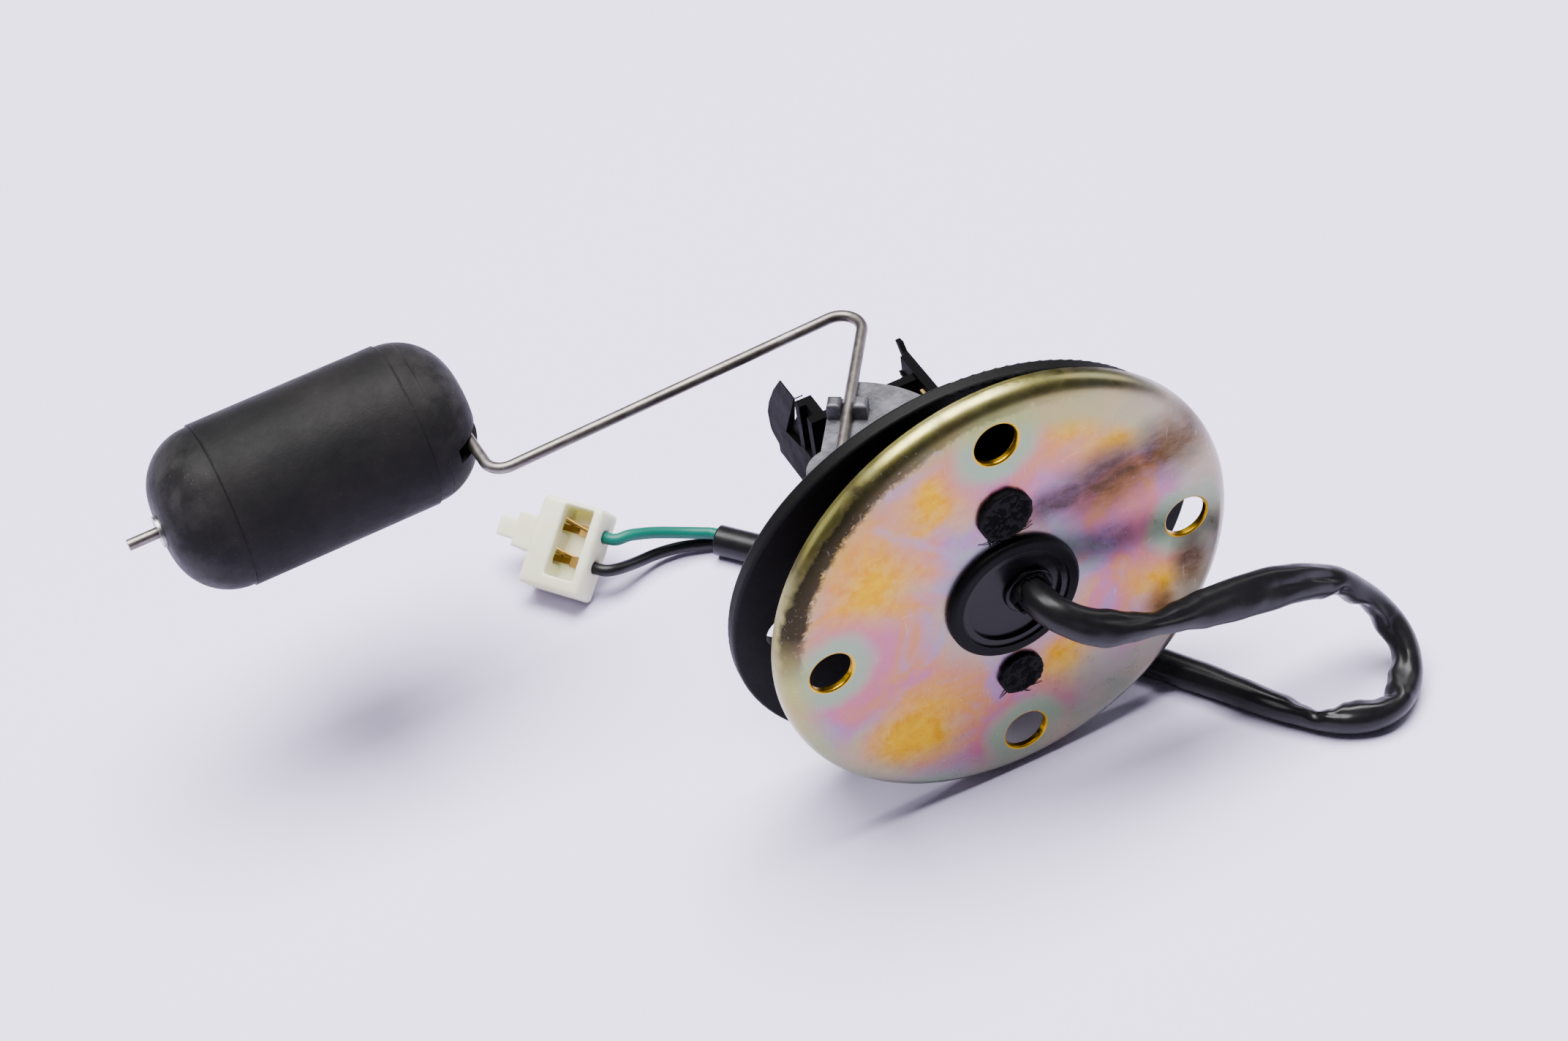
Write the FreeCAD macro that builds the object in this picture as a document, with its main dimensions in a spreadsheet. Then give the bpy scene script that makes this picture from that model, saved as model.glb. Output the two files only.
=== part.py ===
import FreeCAD, Part
import math
import os
import Sketcher

# Fuel level sender for a small tank: a plated round flange with a moulded sensor frame staked to it,
# a die cast rotor that sweeps a wiper over a resistor card, and a bent wire arm with a foam float.
# Frame: origin at the centre of the flange's outer face, +Y into the tank, +X to the right seen from
# outside, +Z along the rotor's hinge. All sizes are in millimetres and degrees.

os.makedirs("parts", exist_ok=True)
doc = FreeCAD.newDocument("fuel_level_sender")
Vector = FreeCAD.Vector
Rotation = FreeCAD.Rotation

SIZES = [
    # flange plate and gasket
    ("plate_radius", 35.0), ("plate_thick", 1.2), ("rim_depth", 3.2), ("rim_bend", 2.6),
    ("bolt_inset", 7.3), ("bolt_hole", 6.4), ("hole_lip", 0.35), ("hole_share", 0.2286),
    ("gasket_over", 0.3), ("gasket_slack", 2.2), ("gasket_thick", 2.2), ("gasket_hole", 7.0),
    ("gasket_hole_shift", 0.8), ("gasket_x", -1.85), ("gasket_y", 11.9), ("gasket_z", -0.2),
    ("gasket_lean", 7.6), ("gasket_yaw", 2.5), ("gasket_round", 0.5),
    # clearances
    ("snug_gap", 0.05), ("running_gap", 0.05), ("moving_gap", 0.3), ("wiper_gap", 0.15), ("through", 5.0),
    # cable grommet
    ("grommet_over", 2.1), ("grommet_proud", 1.4), ("grommet_round", 0.8), ("dish_inset", 2.9),
    ("dish_deep", 0.9), ("step_inset", 1.8), ("step_deep", 0.3), ("lip_over", 1.3), ("lip_thick", 1.5),
    ("lip_taper", 0.8), ("collar_radius", 3.7), ("collar_high", 0.7), ("socket_deep", 1.4),
    ("cable_x", 2.2), ("cable_z", 0.3),
    # moulded frame: the cup and its studs
    ("cup_share", 0.5286), ("cup_top", 12.0), ("cup_wall", 1.6), ("stud_share", 0.4371), ("stud_radius", 2.2),
    ("upper_head_radius", 3.9), ("lower_head_radius", 3.3), ("stud_head_high", 0.9), ("stud_head_round", 0.5),
    ("post_radius", 3.7), ("slot_half", 5.0), ("slot_low", -0.3), ("slot_high", 3.0),
    # moulded frame: the tray
    ("cheek_thick", 1.5), ("tray_left", -10.9), ("tray_right", 7.7), ("tray_end", 39.8), ("tray_low", -6.9),
    ("floor_top", -0.3), ("floor_thick", 1.6), ("rim_top", 8.0), ("cheek_top", 8.6), ("boss_radius", 4.5),
    ("ledge_top", 3.2), ("ledge_wide", 1.4), ("ledge_trim", 4.5), ("nook_wide", 2.7), ("nook_end", 43.9),
    ("peg_radius", 0.8), ("peg_inset", 2.0), ("peg_high", 0.7), ("rib_thick", 1.2), ("rib_step", 8.0),
    ("rib_start", 18.0), ("rib_rise", 1.5),
    # the claw on the left cheek, from its foot to its tip
    ("cheek_low", -8.9), ("cheek_end", 53.2), ("claw_step", -7.4), ("claw_knee", 55.7), ("claw_knee_low", -6.3),
    ("claw_reach", 55.9), ("claw_reach_high", -2.9), ("claw_bend", 54.6), ("claw_bend_high", 0.1),
    ("claw_neck", 51.9), ("claw_neck_high", 4.4), ("claw_tip", 48.6), ("claw_mouth", 43.8),
    ("claw_throat", 49.3), ("claw_throat_low", -1.9), ("claw_round", 1.5), ("claw_lean", 7.0),
    ("web_thick", 0.8), ("web_high", 6.5), ("sill_start", 30.0), ("sill_end", 39.9),
    # the wing at the end of the right cheek
    ("wing_foot", 41.4), ("wing_heel", 43.4), ("wing_heel_high", -3.9), ("wing_notch_low", 4.4),
    ("wing_notch_out", 44.6), ("wing_notch_mid", 5.0), ("wing_notch_in", 44.0), ("wing_notch_top", 7.0),
    ("wing_tip", 46.2), ("wing_tip_high", 9.5), ("wing_top", 45.0), ("wing_top_high", 9.7),
    ("wing_thin", 0.8), ("bead_deep", 0.35), ("bead_low", 4.2), ("bead_step", 1.1), ("bead_thick", 0.5),
    # hinge, rotor and arm
    ("hinge_x", -13.0), ("hinge_y", 24.4), ("arm_plane", 12.0), ("wire_dia", 1.7), ("wire_bend", 3.3),
    ("elbow_bend", 2.8), ("float_bend", 2.4), ("shaft_bend", 2.2), ("shaft_over", 1.5),
    ("crank_length", 35.0), ("crank_angle", 56.4), ("reach_length", 61.5), ("reach_angle", 183.5),
    ("drop_length", 17.2), ("drop_angle", 91.1), ("rod_spare", 5.0), ("rod_angle", 182.1),
    ("rotor_radius", 18.2), ("rotor_thick", 2.2), ("rotor_sweep", 46.0), ("rotor_boss", 4.6),
    ("rotor_strip_long", 14.6), ("rotor_strip_wide", 3.0), ("lug_long", 2.4), ("lug_wide", 2.0),
    ("lug_high", 2.6), ("lug_reach", 11.3), ("lug_round", 0.6), ("clip_radius", 1.8), ("clip_thick", 0.5),
    # resistor card and wiper
    ("card_thick", 1.0), ("card_left", -7.4), ("card_low", 14.2), ("card_high", 37.9), ("card_snip", 2.5),
    ("track_radius", 15.6), ("track_wide", 2.4), ("return_radius", 10.8), ("return_wide", 1.6),
    ("track_thick", 0.12), ("print_margin", 1.0), ("print_side", 2.3),
    ("wiper_thick", 0.25), ("wiper_wide", 1.3), ("wiper_angle", -33.0), ("wiper_root", 3.0),
    ("wiper_bridge", 2.2), ("wiper_run", 3.6), ("wiper_toe", 1.5), ("wiper_drop", 0.9), ("wiper_lift", 0.7),
    ("tab_thick", 0.5), ("tab_wide", 1.9), ("tab_top", 7.6), ("tab_foot", 2.2), ("tab_wing", 2.8),
    ("tab_wing_high", 2.2), ("signal_inset", 3.4), ("ground_inset", 1.2),
    # float
    ("float_length", 46.8), ("cap_length", 9.1), ("barrel_radius", 12.4), ("cap_radius", 12.15),
    ("cap_round", 8.8), ("float_inset", 2.3), ("slot_wide", 2.6), ("slot_spare", 0.3),
    ("nut_radius", 2.4), ("nut_thick", 0.5),
    # cable, leads and connector
    ("sleeve_dia", 4.9), ("lead_dia", 1.9), ("lead_spread", 1.1), ("lead_straight", 1.2),
    ("lead_stagger", 1.3), ("lead_near_tab", 1.9),
    ("plug_x", -41.48), ("plug_y", 71.97), ("plug_z", -28.33), ("plug_turn", 216.56), ("plug_roll", 35.31),
    ("shell_wide", 14.4), ("shell_long", 10.8), ("shell_thick", 5.9), ("shell_wall", 1.0), ("shell_round", 0.7),
    ("way_shift", -0.75), ("way_spread", 2.5), ("way_low", -0.4), ("way_front", 0.9), ("way_gap", 0.15),
    ("window_front", -1.3), ("window_back", 3.8), ("window_half", 5.7),
    ("neck_wide", 5.8), ("neck_long", 3.5), ("neck_thick", 4.4), ("tongue_wide", 3.4), ("tongue_long", 3.6),
    ("tongue_thick", 2.4), ("contact_half", 0.9), ("contact_leaf", 0.3), ("contact_box", 1.2),
    ("contact_high", 0.3), ("contact_crimp", 0.6), ("contact_foot", 0.5),
]


class Size:
    """A size from the sheet, or a sum of sizes, as a number and as the expression that gives it."""

    def __init__(self, value, text):
        self.value = value
        self.text = text

    def __add__(self, other):
        other = as_size(other)
        return Size(self.value + other.value, f"({self.text} + {other.text})")

    def __radd__(self, other):
        return as_size(other) + self

    def __sub__(self, other):
        other = as_size(other)
        return Size(self.value - other.value, f"({self.text} - {other.text})")

    def __rsub__(self, other):
        return as_size(other) - self

    def __mul__(self, other):
        other = as_size(other)
        return Size(self.value * other.value, f"({self.text} * {other.text})")

    def __rmul__(self, other):
        return as_size(other) * self

    def __truediv__(self, other):
        other = as_size(other)
        return Size(self.value / other.value, f"({self.text} / {other.text})")

    def __neg__(self):
        return Size(-self.value, f"(0 - {self.text})")


def as_size(number):
    if isinstance(number, Size):
        return number
    return Size(float(number), f"({float(number)!r})")


def cosine(angle):
    return Size(math.cos(math.radians(angle.value)), f"cos({angle.text})")


def sine(angle):
    return Size(math.sin(math.radians(angle.value)), f"sin({angle.text})")


class Dimensions:
    """The sheet's named cells, one attribute each."""


def fill_sheet():
    sheet = doc.addObject("Spreadsheet::Sheet", "Sizes")
    named = Dimensions()
    for row, (alias, number) in enumerate(SIZES, start=1):
        sheet.set(f"A{row}", alias)
        sheet.set(f"B{row}", str(number))
        sheet.setAlias(f"B{row}", alias)
        setattr(named, alias, Size(float(number), f"Sizes.{alias}"))
    doc.recompute()
    return named


d = fill_sheet()
NODES = []


def bind(thing, path, size):
    """Ties a property to the sheet."""
    if isinstance(size, Size):
        thing.setExpression(path, size.text)


def place(thing, x, y, z, rotation=None):
    x, y, z = as_size(x), as_size(y), as_size(z)
    thing.Placement = FreeCAD.Placement(Vector(x.value, y.value, z.value), rotation or Rotation())
    bind(thing, "Placement.Base.x", x)
    bind(thing, "Placement.Base.y", y)
    bind(thing, "Placement.Base.z", z)
    return thing


def set_size(thing, path, size):
    size = as_size(size)
    setattr(thing, path, size.value)
    bind(thing, path, size)


def node(thing, label):
    thing.Label = label
    NODES.append(thing)
    return thing


# Solids from primitives and booleans

ALONG = {
    "Z": Rotation(),
    "Y": Rotation(Vector(1, 0, 0), -90),
    "-Y": Rotation(Vector(1, 0, 0), 90),
    "X": Rotation(Vector(0, 1, 0), 90),
}


def cylinder(name, radius, height, x, y, z, along="Z"):
    thing = doc.addObject("Part::Cylinder", name)
    set_size(thing, "Radius", radius)
    set_size(thing, "Height", height)
    return place(thing, x, y, z, ALONG[along])


def box(name, low, high):
    """A block from its lowest to its highest corner."""
    low = [as_size(value) for value in low]
    high = [as_size(value) for value in high]
    thing = doc.addObject("Part::Box", name)
    for path, start, end in zip(("Length", "Width", "Height"), low, high):
        set_size(thing, path, end - start)
    return place(thing, *low)


def fuse(name, shapes):
    thing = doc.addObject("Part::MultiFuse", name)
    thing.Shapes = shapes
    thing.Refine = True
    return thing


def cut(name, base, tools):
    thing = doc.addObject("Part::Cut", name)
    thing.Base = base
    thing.Tool = tools[0] if len(tools) == 1 else fuse(name + "_tools", tools)
    thing.Refine = True
    return thing


def fillet(name, base, radius, choose):
    """Rounds the edges that choose picks."""
    doc.recompute()
    thing = doc.addObject("Part::Fillet", name)
    thing.Base = base
    edges = [index for index, edge in enumerate(base.Shape.Edges, start=1) if choose(edge)]
    thing.Edges = [(index, radius.value, radius.value) for index in edges]
    return thing


# Solids from sketches

def new_body(name):
    return doc.addObject("PartDesign::Body", name)


def origin_feature(body, role):
    return next(feature for feature in body.Origin.OriginFeatures if feature.Role == role)


def new_sketch(body, plane, name, offset=None):
    sketch = body.newObject("Sketcher::SketchObject", name)
    sketch.AttachmentSupport = (origin_feature(body, plane), [""])
    sketch.MapMode = "FlatFace"
    if offset is not None:
        sketch.AttachmentOffset = FreeCAD.Placement(Vector(0, 0, as_size(offset).value), Rotation())
        bind(sketch, "AttachmentOffset.Base.z", as_size(offset))
    return sketch


def pin_point(sketch, curve, end, x, y):
    """Holds one end of a curve at x, y of the sketch."""
    for kind, axis, size in (("DistanceX", -2, as_size(x)), ("DistanceY", -1, as_size(y))):
        if abs(size.value) < 1e-9:
            sketch.addConstraint(Sketcher.Constraint("PointOnObject", curve, end, axis))
        else:
            index = sketch.addConstraint(Sketcher.Constraint(kind, -1, 1, curve, end, size.value))
            bind(sketch, f"Constraints[{index}]", size)


def outline(sketch, corners):
    """A closed run of straight lines through the corners."""
    corners = [(as_size(x), as_size(y)) for x, y in corners]
    count = len(corners)
    for index, (x, y) in enumerate(corners):
        x_next, y_next = corners[(index + 1) % count]
        line = Part.LineSegment(Vector(x.value, y.value, 0), Vector(x_next.value, y_next.value, 0))
        sketch.addGeometry(line, False)
    for index in range(count):
        following = (index + 1) % count
        sketch.addConstraint(Sketcher.Constraint("Coincident", index, 2, following, 1))
    for index, (x, y) in enumerate(corners):
        pin_point(sketch, index, 1, x, y)


def ring(sketch, radius, x=0, y=0):
    """A circle of a bound radius and centre."""
    radius, x, y = as_size(radius), as_size(x), as_size(y)
    centre = Vector(x.value, y.value, 0)
    index = sketch.addGeometry(Part.Circle(centre, Vector(0, 0, 1), radius.value), False)
    constraint = sketch.addConstraint(Sketcher.Constraint("Radius", index, radius.value))
    bind(sketch, f"Constraints[{constraint}]", radius)
    pin_point(sketch, index, 3, x, y)


def revolve(body, sketch, axis):
    feature = body.newObject("PartDesign::Revolution", body.Name + "_turned")
    feature.Profile = sketch
    feature.ReferenceAxis = (sketch, [axis])
    feature.Angle = 360
    return feature


def pad(body, sketch, length, reverse=False, centred=False):
    feature = body.newObject("PartDesign::Pad", sketch.Name + "_pad")
    feature.Profile = sketch
    set_size(feature, "Length", length)
    feature.Reversed = reverse
    feature.SideType = "Symmetric" if centred else "One side"
    return feature


def pocket(body, sketch, length=None):
    """Cuts to both sides of the sketch, right through when no length is given."""
    feature = body.newObject("PartDesign::Pocket", sketch.Name + "_cut")
    feature.Profile = sketch
    feature.SideType = "Symmetric"
    if length is None:
        feature.Type = "ThroughAll"
    else:
        set_size(feature, "Length", length)
    return feature


def round_edges(body, radius, choose):
    """Rounds the edges of the body that choose picks."""
    doc.recompute()
    base = body.Tip
    names = [f"Edge{index}" for index, edge in enumerate(base.Shape.Edges, start=1) if choose(edge)]
    feature = body.newObject("PartDesign::Fillet", f"{base.Name}_round")
    feature.Base = (base, names)
    set_size(feature, "Radius", radius)
    return feature


def is_circle(edge, radius, axis=None, height=None):
    """Tells a round edge by its radius and, where given, its height along an axis."""
    if not isinstance(edge.Curve, Part.Circle) or abs(edge.Curve.Radius - radius) > 1e-4:
        return False
    return axis is None or abs(edge.Curve.Center[axis] - height) < 1e-4


# Wires, leads and the cable: straight runs joined by tangent arcs

def rounded_path(points, radius_of):
    """Runs through the points, with an arc at each inner point. radius_of gives its radius."""
    edges = []
    start = points[0]
    for before, corner, after in zip(points, points[1:], points[2:]):
        into = (corner - before).normalize()
        out = (after - corner).normalize()
        half_turn = into.getAngle(out) / 2
        radius = radius_of((corner - before).Length, (after - corner).Length, half_turn)
        setback = radius * math.tan(half_turn)
        arc_start = corner - into * setback
        arc_end = corner + out * setback
        inward = (out - into).normalize()
        middle = corner + inward * (radius / math.cos(half_turn) - radius)
        if (arc_start - start).Length > 1e-6:
            edges.append(Part.LineSegment(start, arc_start).toShape())
        edges.append(Part.Arc(arc_start, middle, arc_end).toShape())
        start = arc_end
    edges.append(Part.LineSegment(start, points[-1]).toShape())
    return Part.Wire(edges)


def fixed_bends(radii):
    """The arc radii in order, for a bent wire."""
    remaining = list(radii)
    return lambda run_in, run_out, half_turn: remaining.pop(0)


def soft_bend(run_in, run_out, half_turn):
    """As large an arc as the two runs allow, for a free cord."""
    return 0.45 * min(run_in, run_out) / math.tan(half_turn)


def tube(name, label, points, diameter, radius_of, placement=None):
    path = rounded_path(points, radius_of)
    direction = points[1] - points[0]
    section = Part.Wire(Part.makeCircle(diameter.value / 2, points[0], direction))
    solid = path.makePipeShell([section], True, False)
    expected = math.pi * diameter.value ** 2 / 4 * path.Length
    radii = [edge.Curve.Radius for edge in path.Edges if isinstance(edge.Curve, Part.Circle)]
    listed = " ".join(f"{radius:.1f}" for radius in radii)
    print(f"{label}: length {path.Length:.1f}, volume {solid.Volume:.1f} for {expected:.1f}, radii {listed}")
    thing = doc.addObject("Part::Feature", name)
    thing.Shape = solid
    if placement is not None:
        thing.Placement = placement
    return node(thing, label)


# Flange side

def bolt_places(shift=0):
    """The four bolt centres, across and up."""
    reach = d.plate_radius - d.bolt_inset
    return [(reach + shift, 0), (shift, reach), (-reach + shift, 0), (shift, -reach)]


def hole_radius():
    """The plate's middle hole, which the grommet fills."""
    return d.plate_radius * d.hole_share


def cup_radius():
    """The outside of the frame's cup, inside the circle of the bolts."""
    return d.plate_radius * d.cup_share


def stud_reach():
    """From the middle to each stud, between the grommet and the bolts."""
    return d.plate_radius * d.stud_share


def flange_plate():
    """A pressed disc with its rim turned back, four bolt holes, two stud holes and the cable hole."""
    body = new_body("plate_body")
    profile = new_sketch(body, "XY_Plane", "plate_profile")
    bore = hole_radius()
    inner_rim = d.plate_radius - d.plate_thick
    outline(profile, [
        (bore, 0), (d.plate_radius, 0), (d.plate_radius, d.rim_depth),
        (inner_rim, d.rim_depth), (inner_rim, d.plate_thick), (bore, d.plate_thick),
    ])
    revolve(body, profile, "V_Axis")
    round_edges(body, d.rim_bend, lambda edge: is_circle(edge, d.plate_radius.value, 1, 0))
    inner_bend = d.rim_bend - d.plate_thick
    round_edges(body, inner_bend, lambda edge: is_circle(edge, inner_rim.value, 1, d.plate_thick.value))
    hole = new_sketch(body, "XZ_Plane", "bolt_hole")
    ring(hole, d.bolt_hole / 2, *bolt_places()[0])
    one_hole = pocket(body, hole)
    pattern = body.newObject("PartDesign::PolarPattern", "bolt_holes")
    pattern.Originals = [one_hole]
    pattern.Axis = (origin_feature(body, "Y_Axis"), [""])
    pattern.Angle = 360
    pattern.Occurrences = 4
    body.Tip = pattern
    studs = new_sketch(body, "XZ_Plane", "stud_holes")
    for side in (1, -1):
        ring(studs, d.stud_radius + d.snug_gap, 0, stud_reach() * side)
    pocket(body, studs)
    round_edges(body, d.hole_lip, lambda edge: is_circle(edge, d.bolt_hole.value / 2))
    return node(body, "flange_plate")


def flange_gasket():
    """A loose rubber ring behind the plate. It has slipped down and leans away from the plate's foot."""
    body = new_body("gasket_body")
    outside = d.plate_radius + d.gasket_over
    profile = new_sketch(body, "XZ_Plane", "gasket_outline")
    ring(profile, outside)
    ring(profile, cup_radius() + d.gasket_slack)
    for x, z in bolt_places(d.gasket_hole_shift):
        ring(profile, d.gasket_hole / 2, x, z)
    pad(body, profile, d.gasket_thick)
    round_edges(body, d.gasket_round, lambda edge: is_circle(edge, outside.value))
    lean = Rotation(Vector(1, 0, 0), d.gasket_lean.value)
    yaw = Rotation(Vector(0, 0, 1), -d.gasket_yaw.value)
    place(body, d.gasket_x, d.gasket_y, d.gasket_z, yaw.multiply(lean))
    return node(body, "flange_gasket")


def collar_front():
    """How far out the grommet's collar stands, along Y."""
    return d.dish_deep - d.grommet_proud - d.collar_high


def cable_grommet():
    """A rubber plug in the plate's hole: a dished front, a neck, an inner lip and a collar for the sleeve."""
    body = new_body("grommet_body")
    profile = new_sketch(body, "XY_Plane", "grommet_profile")
    neck = hole_radius() - d.snug_gap
    outside = hole_radius() + d.grommet_over
    step_radius = outside - d.step_inset
    dish_radius = outside - d.dish_inset
    lip_radius = hole_radius() + d.lip_over
    front = -d.grommet_proud
    step = front + d.step_deep
    dish = front + d.dish_deep
    back = d.plate_thick + d.lip_thick
    outline(profile, [
        (0, dish), (dish_radius, dish), (dish_radius, step), (step_radius, step), (step_radius, front),
        (outside, front), (outside, 0), (neck, 0), (neck, d.plate_thick),
        (lip_radius, d.plate_thick), (lip_radius - d.lip_taper, back), (0, back),
    ])
    revolve(body, profile, "V_Axis")
    round_edges(body, d.grommet_round, lambda edge: is_circle(edge, outside.value, 1, front.value))
    collar = new_sketch(body, "XZ_Plane", "collar_outline")
    collar.AttachmentOffset = FreeCAD.Placement(Vector(0, 0, -dish.value), Rotation())
    bind(collar, "AttachmentOffset.Base.z", -dish)
    ring(collar, d.collar_radius, d.cable_x, d.cable_z)
    pad(body, collar, d.collar_high)
    collar_end = collar_front()
    round_edges(body, d.collar_high / 2, lambda edge: is_circle(edge, d.collar_radius.value, 1, collar_end.value))
    socket = new_sketch(body, "XZ_Plane", "socket_outline")
    socket.AttachmentOffset = FreeCAD.Placement(Vector(0, 0, -collar_end.value), Rotation())
    bind(socket, "AttachmentOffset.Base.z", -collar_end)
    ring(socket, d.sleeve_dia / 2 + d.snug_gap, d.cable_x, d.cable_z)
    pocket(body, socket, d.socket_deep * 2)
    return node(body, "cable_grommet")


def cheek(name, corners, x_inner, thick, arcs=()):
    """One side wall of the tray: an outline in the Y and Z directions, made as thick as the wall."""
    body = new_body(name)
    sketch = new_sketch(body, "YZ_Plane", name + "_outline", x_inner)
    outline(sketch, corners)
    pad(body, sketch, thick)
    for radius, y, z in arcs:
        def near(edge, y=y, z=z):
            ends = [vertex.Point for vertex in edge.Vertexes]
            upright = len(ends) == 2 and (ends[0] - ends[1]).cross(Vector(1, 0, 0)).Length < 1e-6
            return upright and math.hypot(ends[0].y - y.value, ends[0].z - z.value) < 1e-3
        round_edges(body, radius, near)
    return body


def frame_cup():
    """The cup against the plate, with its two posts and their staked studs."""
    tall = d.cup_top - d.plate_thick
    cup = cylinder("cup_outer", cup_radius(), tall, 0, d.plate_thick, 0, "Y")
    hollow = cylinder("cup_hollow", cup_radius() - d.cup_wall, tall - d.cup_wall, 0, d.plate_thick, 0, "Y")
    solids = [cut("cup_shell", cup, [hollow])]
    stud_start = -d.stud_head_high
    for word, z, head_radius in (("upper", stud_reach(), d.upper_head_radius),
                                 ("lower", -stud_reach(), d.lower_head_radius)):
        solids.append(cylinder(word + "_post", d.post_radius, tall, 0, d.plate_thick, z, "Y"))
        stud_long = d.plate_thick * 2 + d.stud_head_high
        solids.append(cylinder(word + "_stud", d.stud_radius, stud_long, 0, stud_start, z, "Y"))
        head = cylinder(word + "_stud_head", head_radius, d.stud_head_high, 0, stud_start, z, "Y")
        rim = head_radius.value
        solids.append(fillet(word + "_head_round", head, d.stud_head_round,
                             lambda edge: is_circle(edge, rim, 1, stud_start.value)))
    return solids


def left_cheek(tray_start):
    """A full wall beside the hinge, then a low beam that hooks up into a claw with a thin tip."""
    bends = [
        (d.claw_knee, d.claw_knee_low), (d.claw_reach, d.claw_reach_high), (d.claw_bend, d.claw_bend_high),
        (d.claw_neck, d.claw_neck_high),
    ]
    wall = cheek("left_cheek", [
        (tray_start, d.cheek_low), (d.cheek_end, d.cheek_low), (d.cheek_end, d.claw_step), *bends,
        (d.claw_tip, d.cheek_top), (d.claw_mouth, d.cheek_top), (d.claw_throat, d.claw_throat_low),
        (d.sill_end, d.floor_top), (d.sill_start, d.floor_top), (d.sill_start, d.rim_top), (tray_start, d.rim_top),
    ], d.tray_left, d.cheek_thick, [(d.claw_round, *bend) for bend in bends])
    wedge = box("claw_wedge", (0, 0, 0), (d.cheek_thick * 2, d.claw_reach - d.nook_end + d.through,
                                          d.cheek_top - d.claw_throat_low + d.through))
    lean = Rotation(Vector(0, 1, 0), -d.claw_lean.value)
    place(wedge, d.tray_left + d.cheek_thick, d.nook_end + d.snug_gap, d.claw_throat_low, lean)
    claw = cut("claw_thinned", wall, [wedge])
    web = cheek("claw_web", [
        (d.claw_mouth, d.claw_throat_low), (d.claw_throat, d.claw_throat_low), (d.claw_mouth, d.web_high),
    ], d.tray_left + d.web_thick, d.web_thick)
    return [claw, web]


def right_cheek(tray_start):
    """The far wall of the tray, with a notched wing at its end, thin at the tip."""
    inner = d.tray_right - d.cheek_thick
    wall = cheek("right_cheek", [
        (tray_start, d.tray_low), (d.wing_foot, d.tray_low), (d.wing_heel, d.wing_heel_high),
        (d.wing_heel, d.wing_notch_low), (d.wing_notch_out, d.wing_notch_mid), (d.wing_notch_in, d.wing_notch_top),
        (d.wing_tip, d.wing_tip_high), (d.wing_top, d.wing_top_high), (d.wing_notch_in, d.cheek_top),
        (tray_start, d.cheek_top),
    ], inner, d.cheek_thick)
    thin = box("wing_relief", (inner - d.snug_gap, d.wing_heel, d.wing_notch_mid),
               (d.tray_right - d.wing_thin, d.wing_tip + d.through, d.wing_top_high + d.through))
    beads = []
    for index in range(2):
        z = d.bead_low + d.bead_step * index
        beads.append(box(f"cheek_bead_{index}", (inner - d.bead_deep, d.tray_end, z),
                         (inner, d.wing_heel, z + d.bead_thick)))
    return [cut("wing_thinned", wall, [thin])] + beads


def sensor_frame():
    """The black moulding: a cup on the plate with two staked studs, and a tray that carries the sensor."""
    solids = frame_cup()
    tray_start = d.cup_top - d.cup_wall
    floor_low = d.floor_top - d.floor_thick
    inner_left = d.tray_left + d.cheek_thick
    inner_right = d.tray_right - d.cheek_thick
    wall_start = d.tray_end - d.cheek_thick
    nook_right = d.tray_left + d.nook_wide
    solids += [
        box("tray_floor", (d.tray_left, tray_start, floor_low), (d.tray_right, d.tray_end, d.floor_top)),
        box("tray_end_wall", (d.tray_left + d.snug_gap, wall_start, floor_low), (d.tray_right, d.tray_end, d.rim_top)),
        box("nook_side", (nook_right - d.cheek_thick, wall_start, floor_low), (nook_right, d.nook_end, d.rim_top)),
        box("nook_end_wall", (d.tray_left + d.snug_gap, d.nook_end - d.cheek_thick, floor_low),
            (nook_right, d.nook_end, d.rim_top)),
        box("nook_floor", (d.tray_left, wall_start, floor_low), (nook_right, d.nook_end, d.floor_top)),
        cylinder("hinge_boss", d.boss_radius, d.rim_top - d.tray_low, d.hinge_x, d.hinge_y, d.tray_low),
    ]
    solids += left_cheek(tray_start) + right_cheek(tray_start)
    # ledges and pegs that carry the card
    for word, start, trim in (("left", d.card_left, as_size(0)), ("right", inner_right - d.ledge_wide, d.ledge_trim)):
        solids.append(box(word + "_ledge", (start, d.card_low + trim, floor_low),
                          (start + d.ledge_wide, d.card_high - trim, d.ledge_top)))
    for word, y in (("near", d.card_low + d.peg_inset), ("far", d.card_high - d.peg_inset)):
        solids.append(cylinder(word + "_peg", d.peg_radius, d.card_thick + d.peg_high,
                               d.card_left + d.ledge_wide / 2, y, d.ledge_top))
    for index in range(3):
        y = d.rib_start + d.rib_step * index
        solids.append(box(f"floor_rib_{index}", (inner_left, y, d.tray_low + d.rib_rise),
                          (inner_right, y + d.rib_thick, floor_low)))
    whole = fuse("frame_whole", solids)
    bore_start = d.tray_low - d.through
    bore = cylinder("pivot_bore", d.wire_dia / 2 + d.running_gap, d.rim_top - bore_start + d.through,
                    d.hinge_x, d.hinge_y, bore_start)
    passage = box("lead_passage", (-d.slot_half, tray_start - d.through, d.slot_low),
                  (d.slot_half, d.cup_top + d.through, d.slot_high))
    return node(cut("frame_finished", whole, [bore, passage]), "sensor_frame")


def card_edge():
    """The card's right edge, which leaves room for the tabs between it and the cheek."""
    return d.tray_right - d.cheek_thick - d.tab_thick - d.snug_gap * 2


def tab_places():
    """The near side of each tab, along the card."""
    return {"signal_tab": d.card_high - d.signal_inset, "ground_tab": d.card_low + d.ground_inset}


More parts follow.
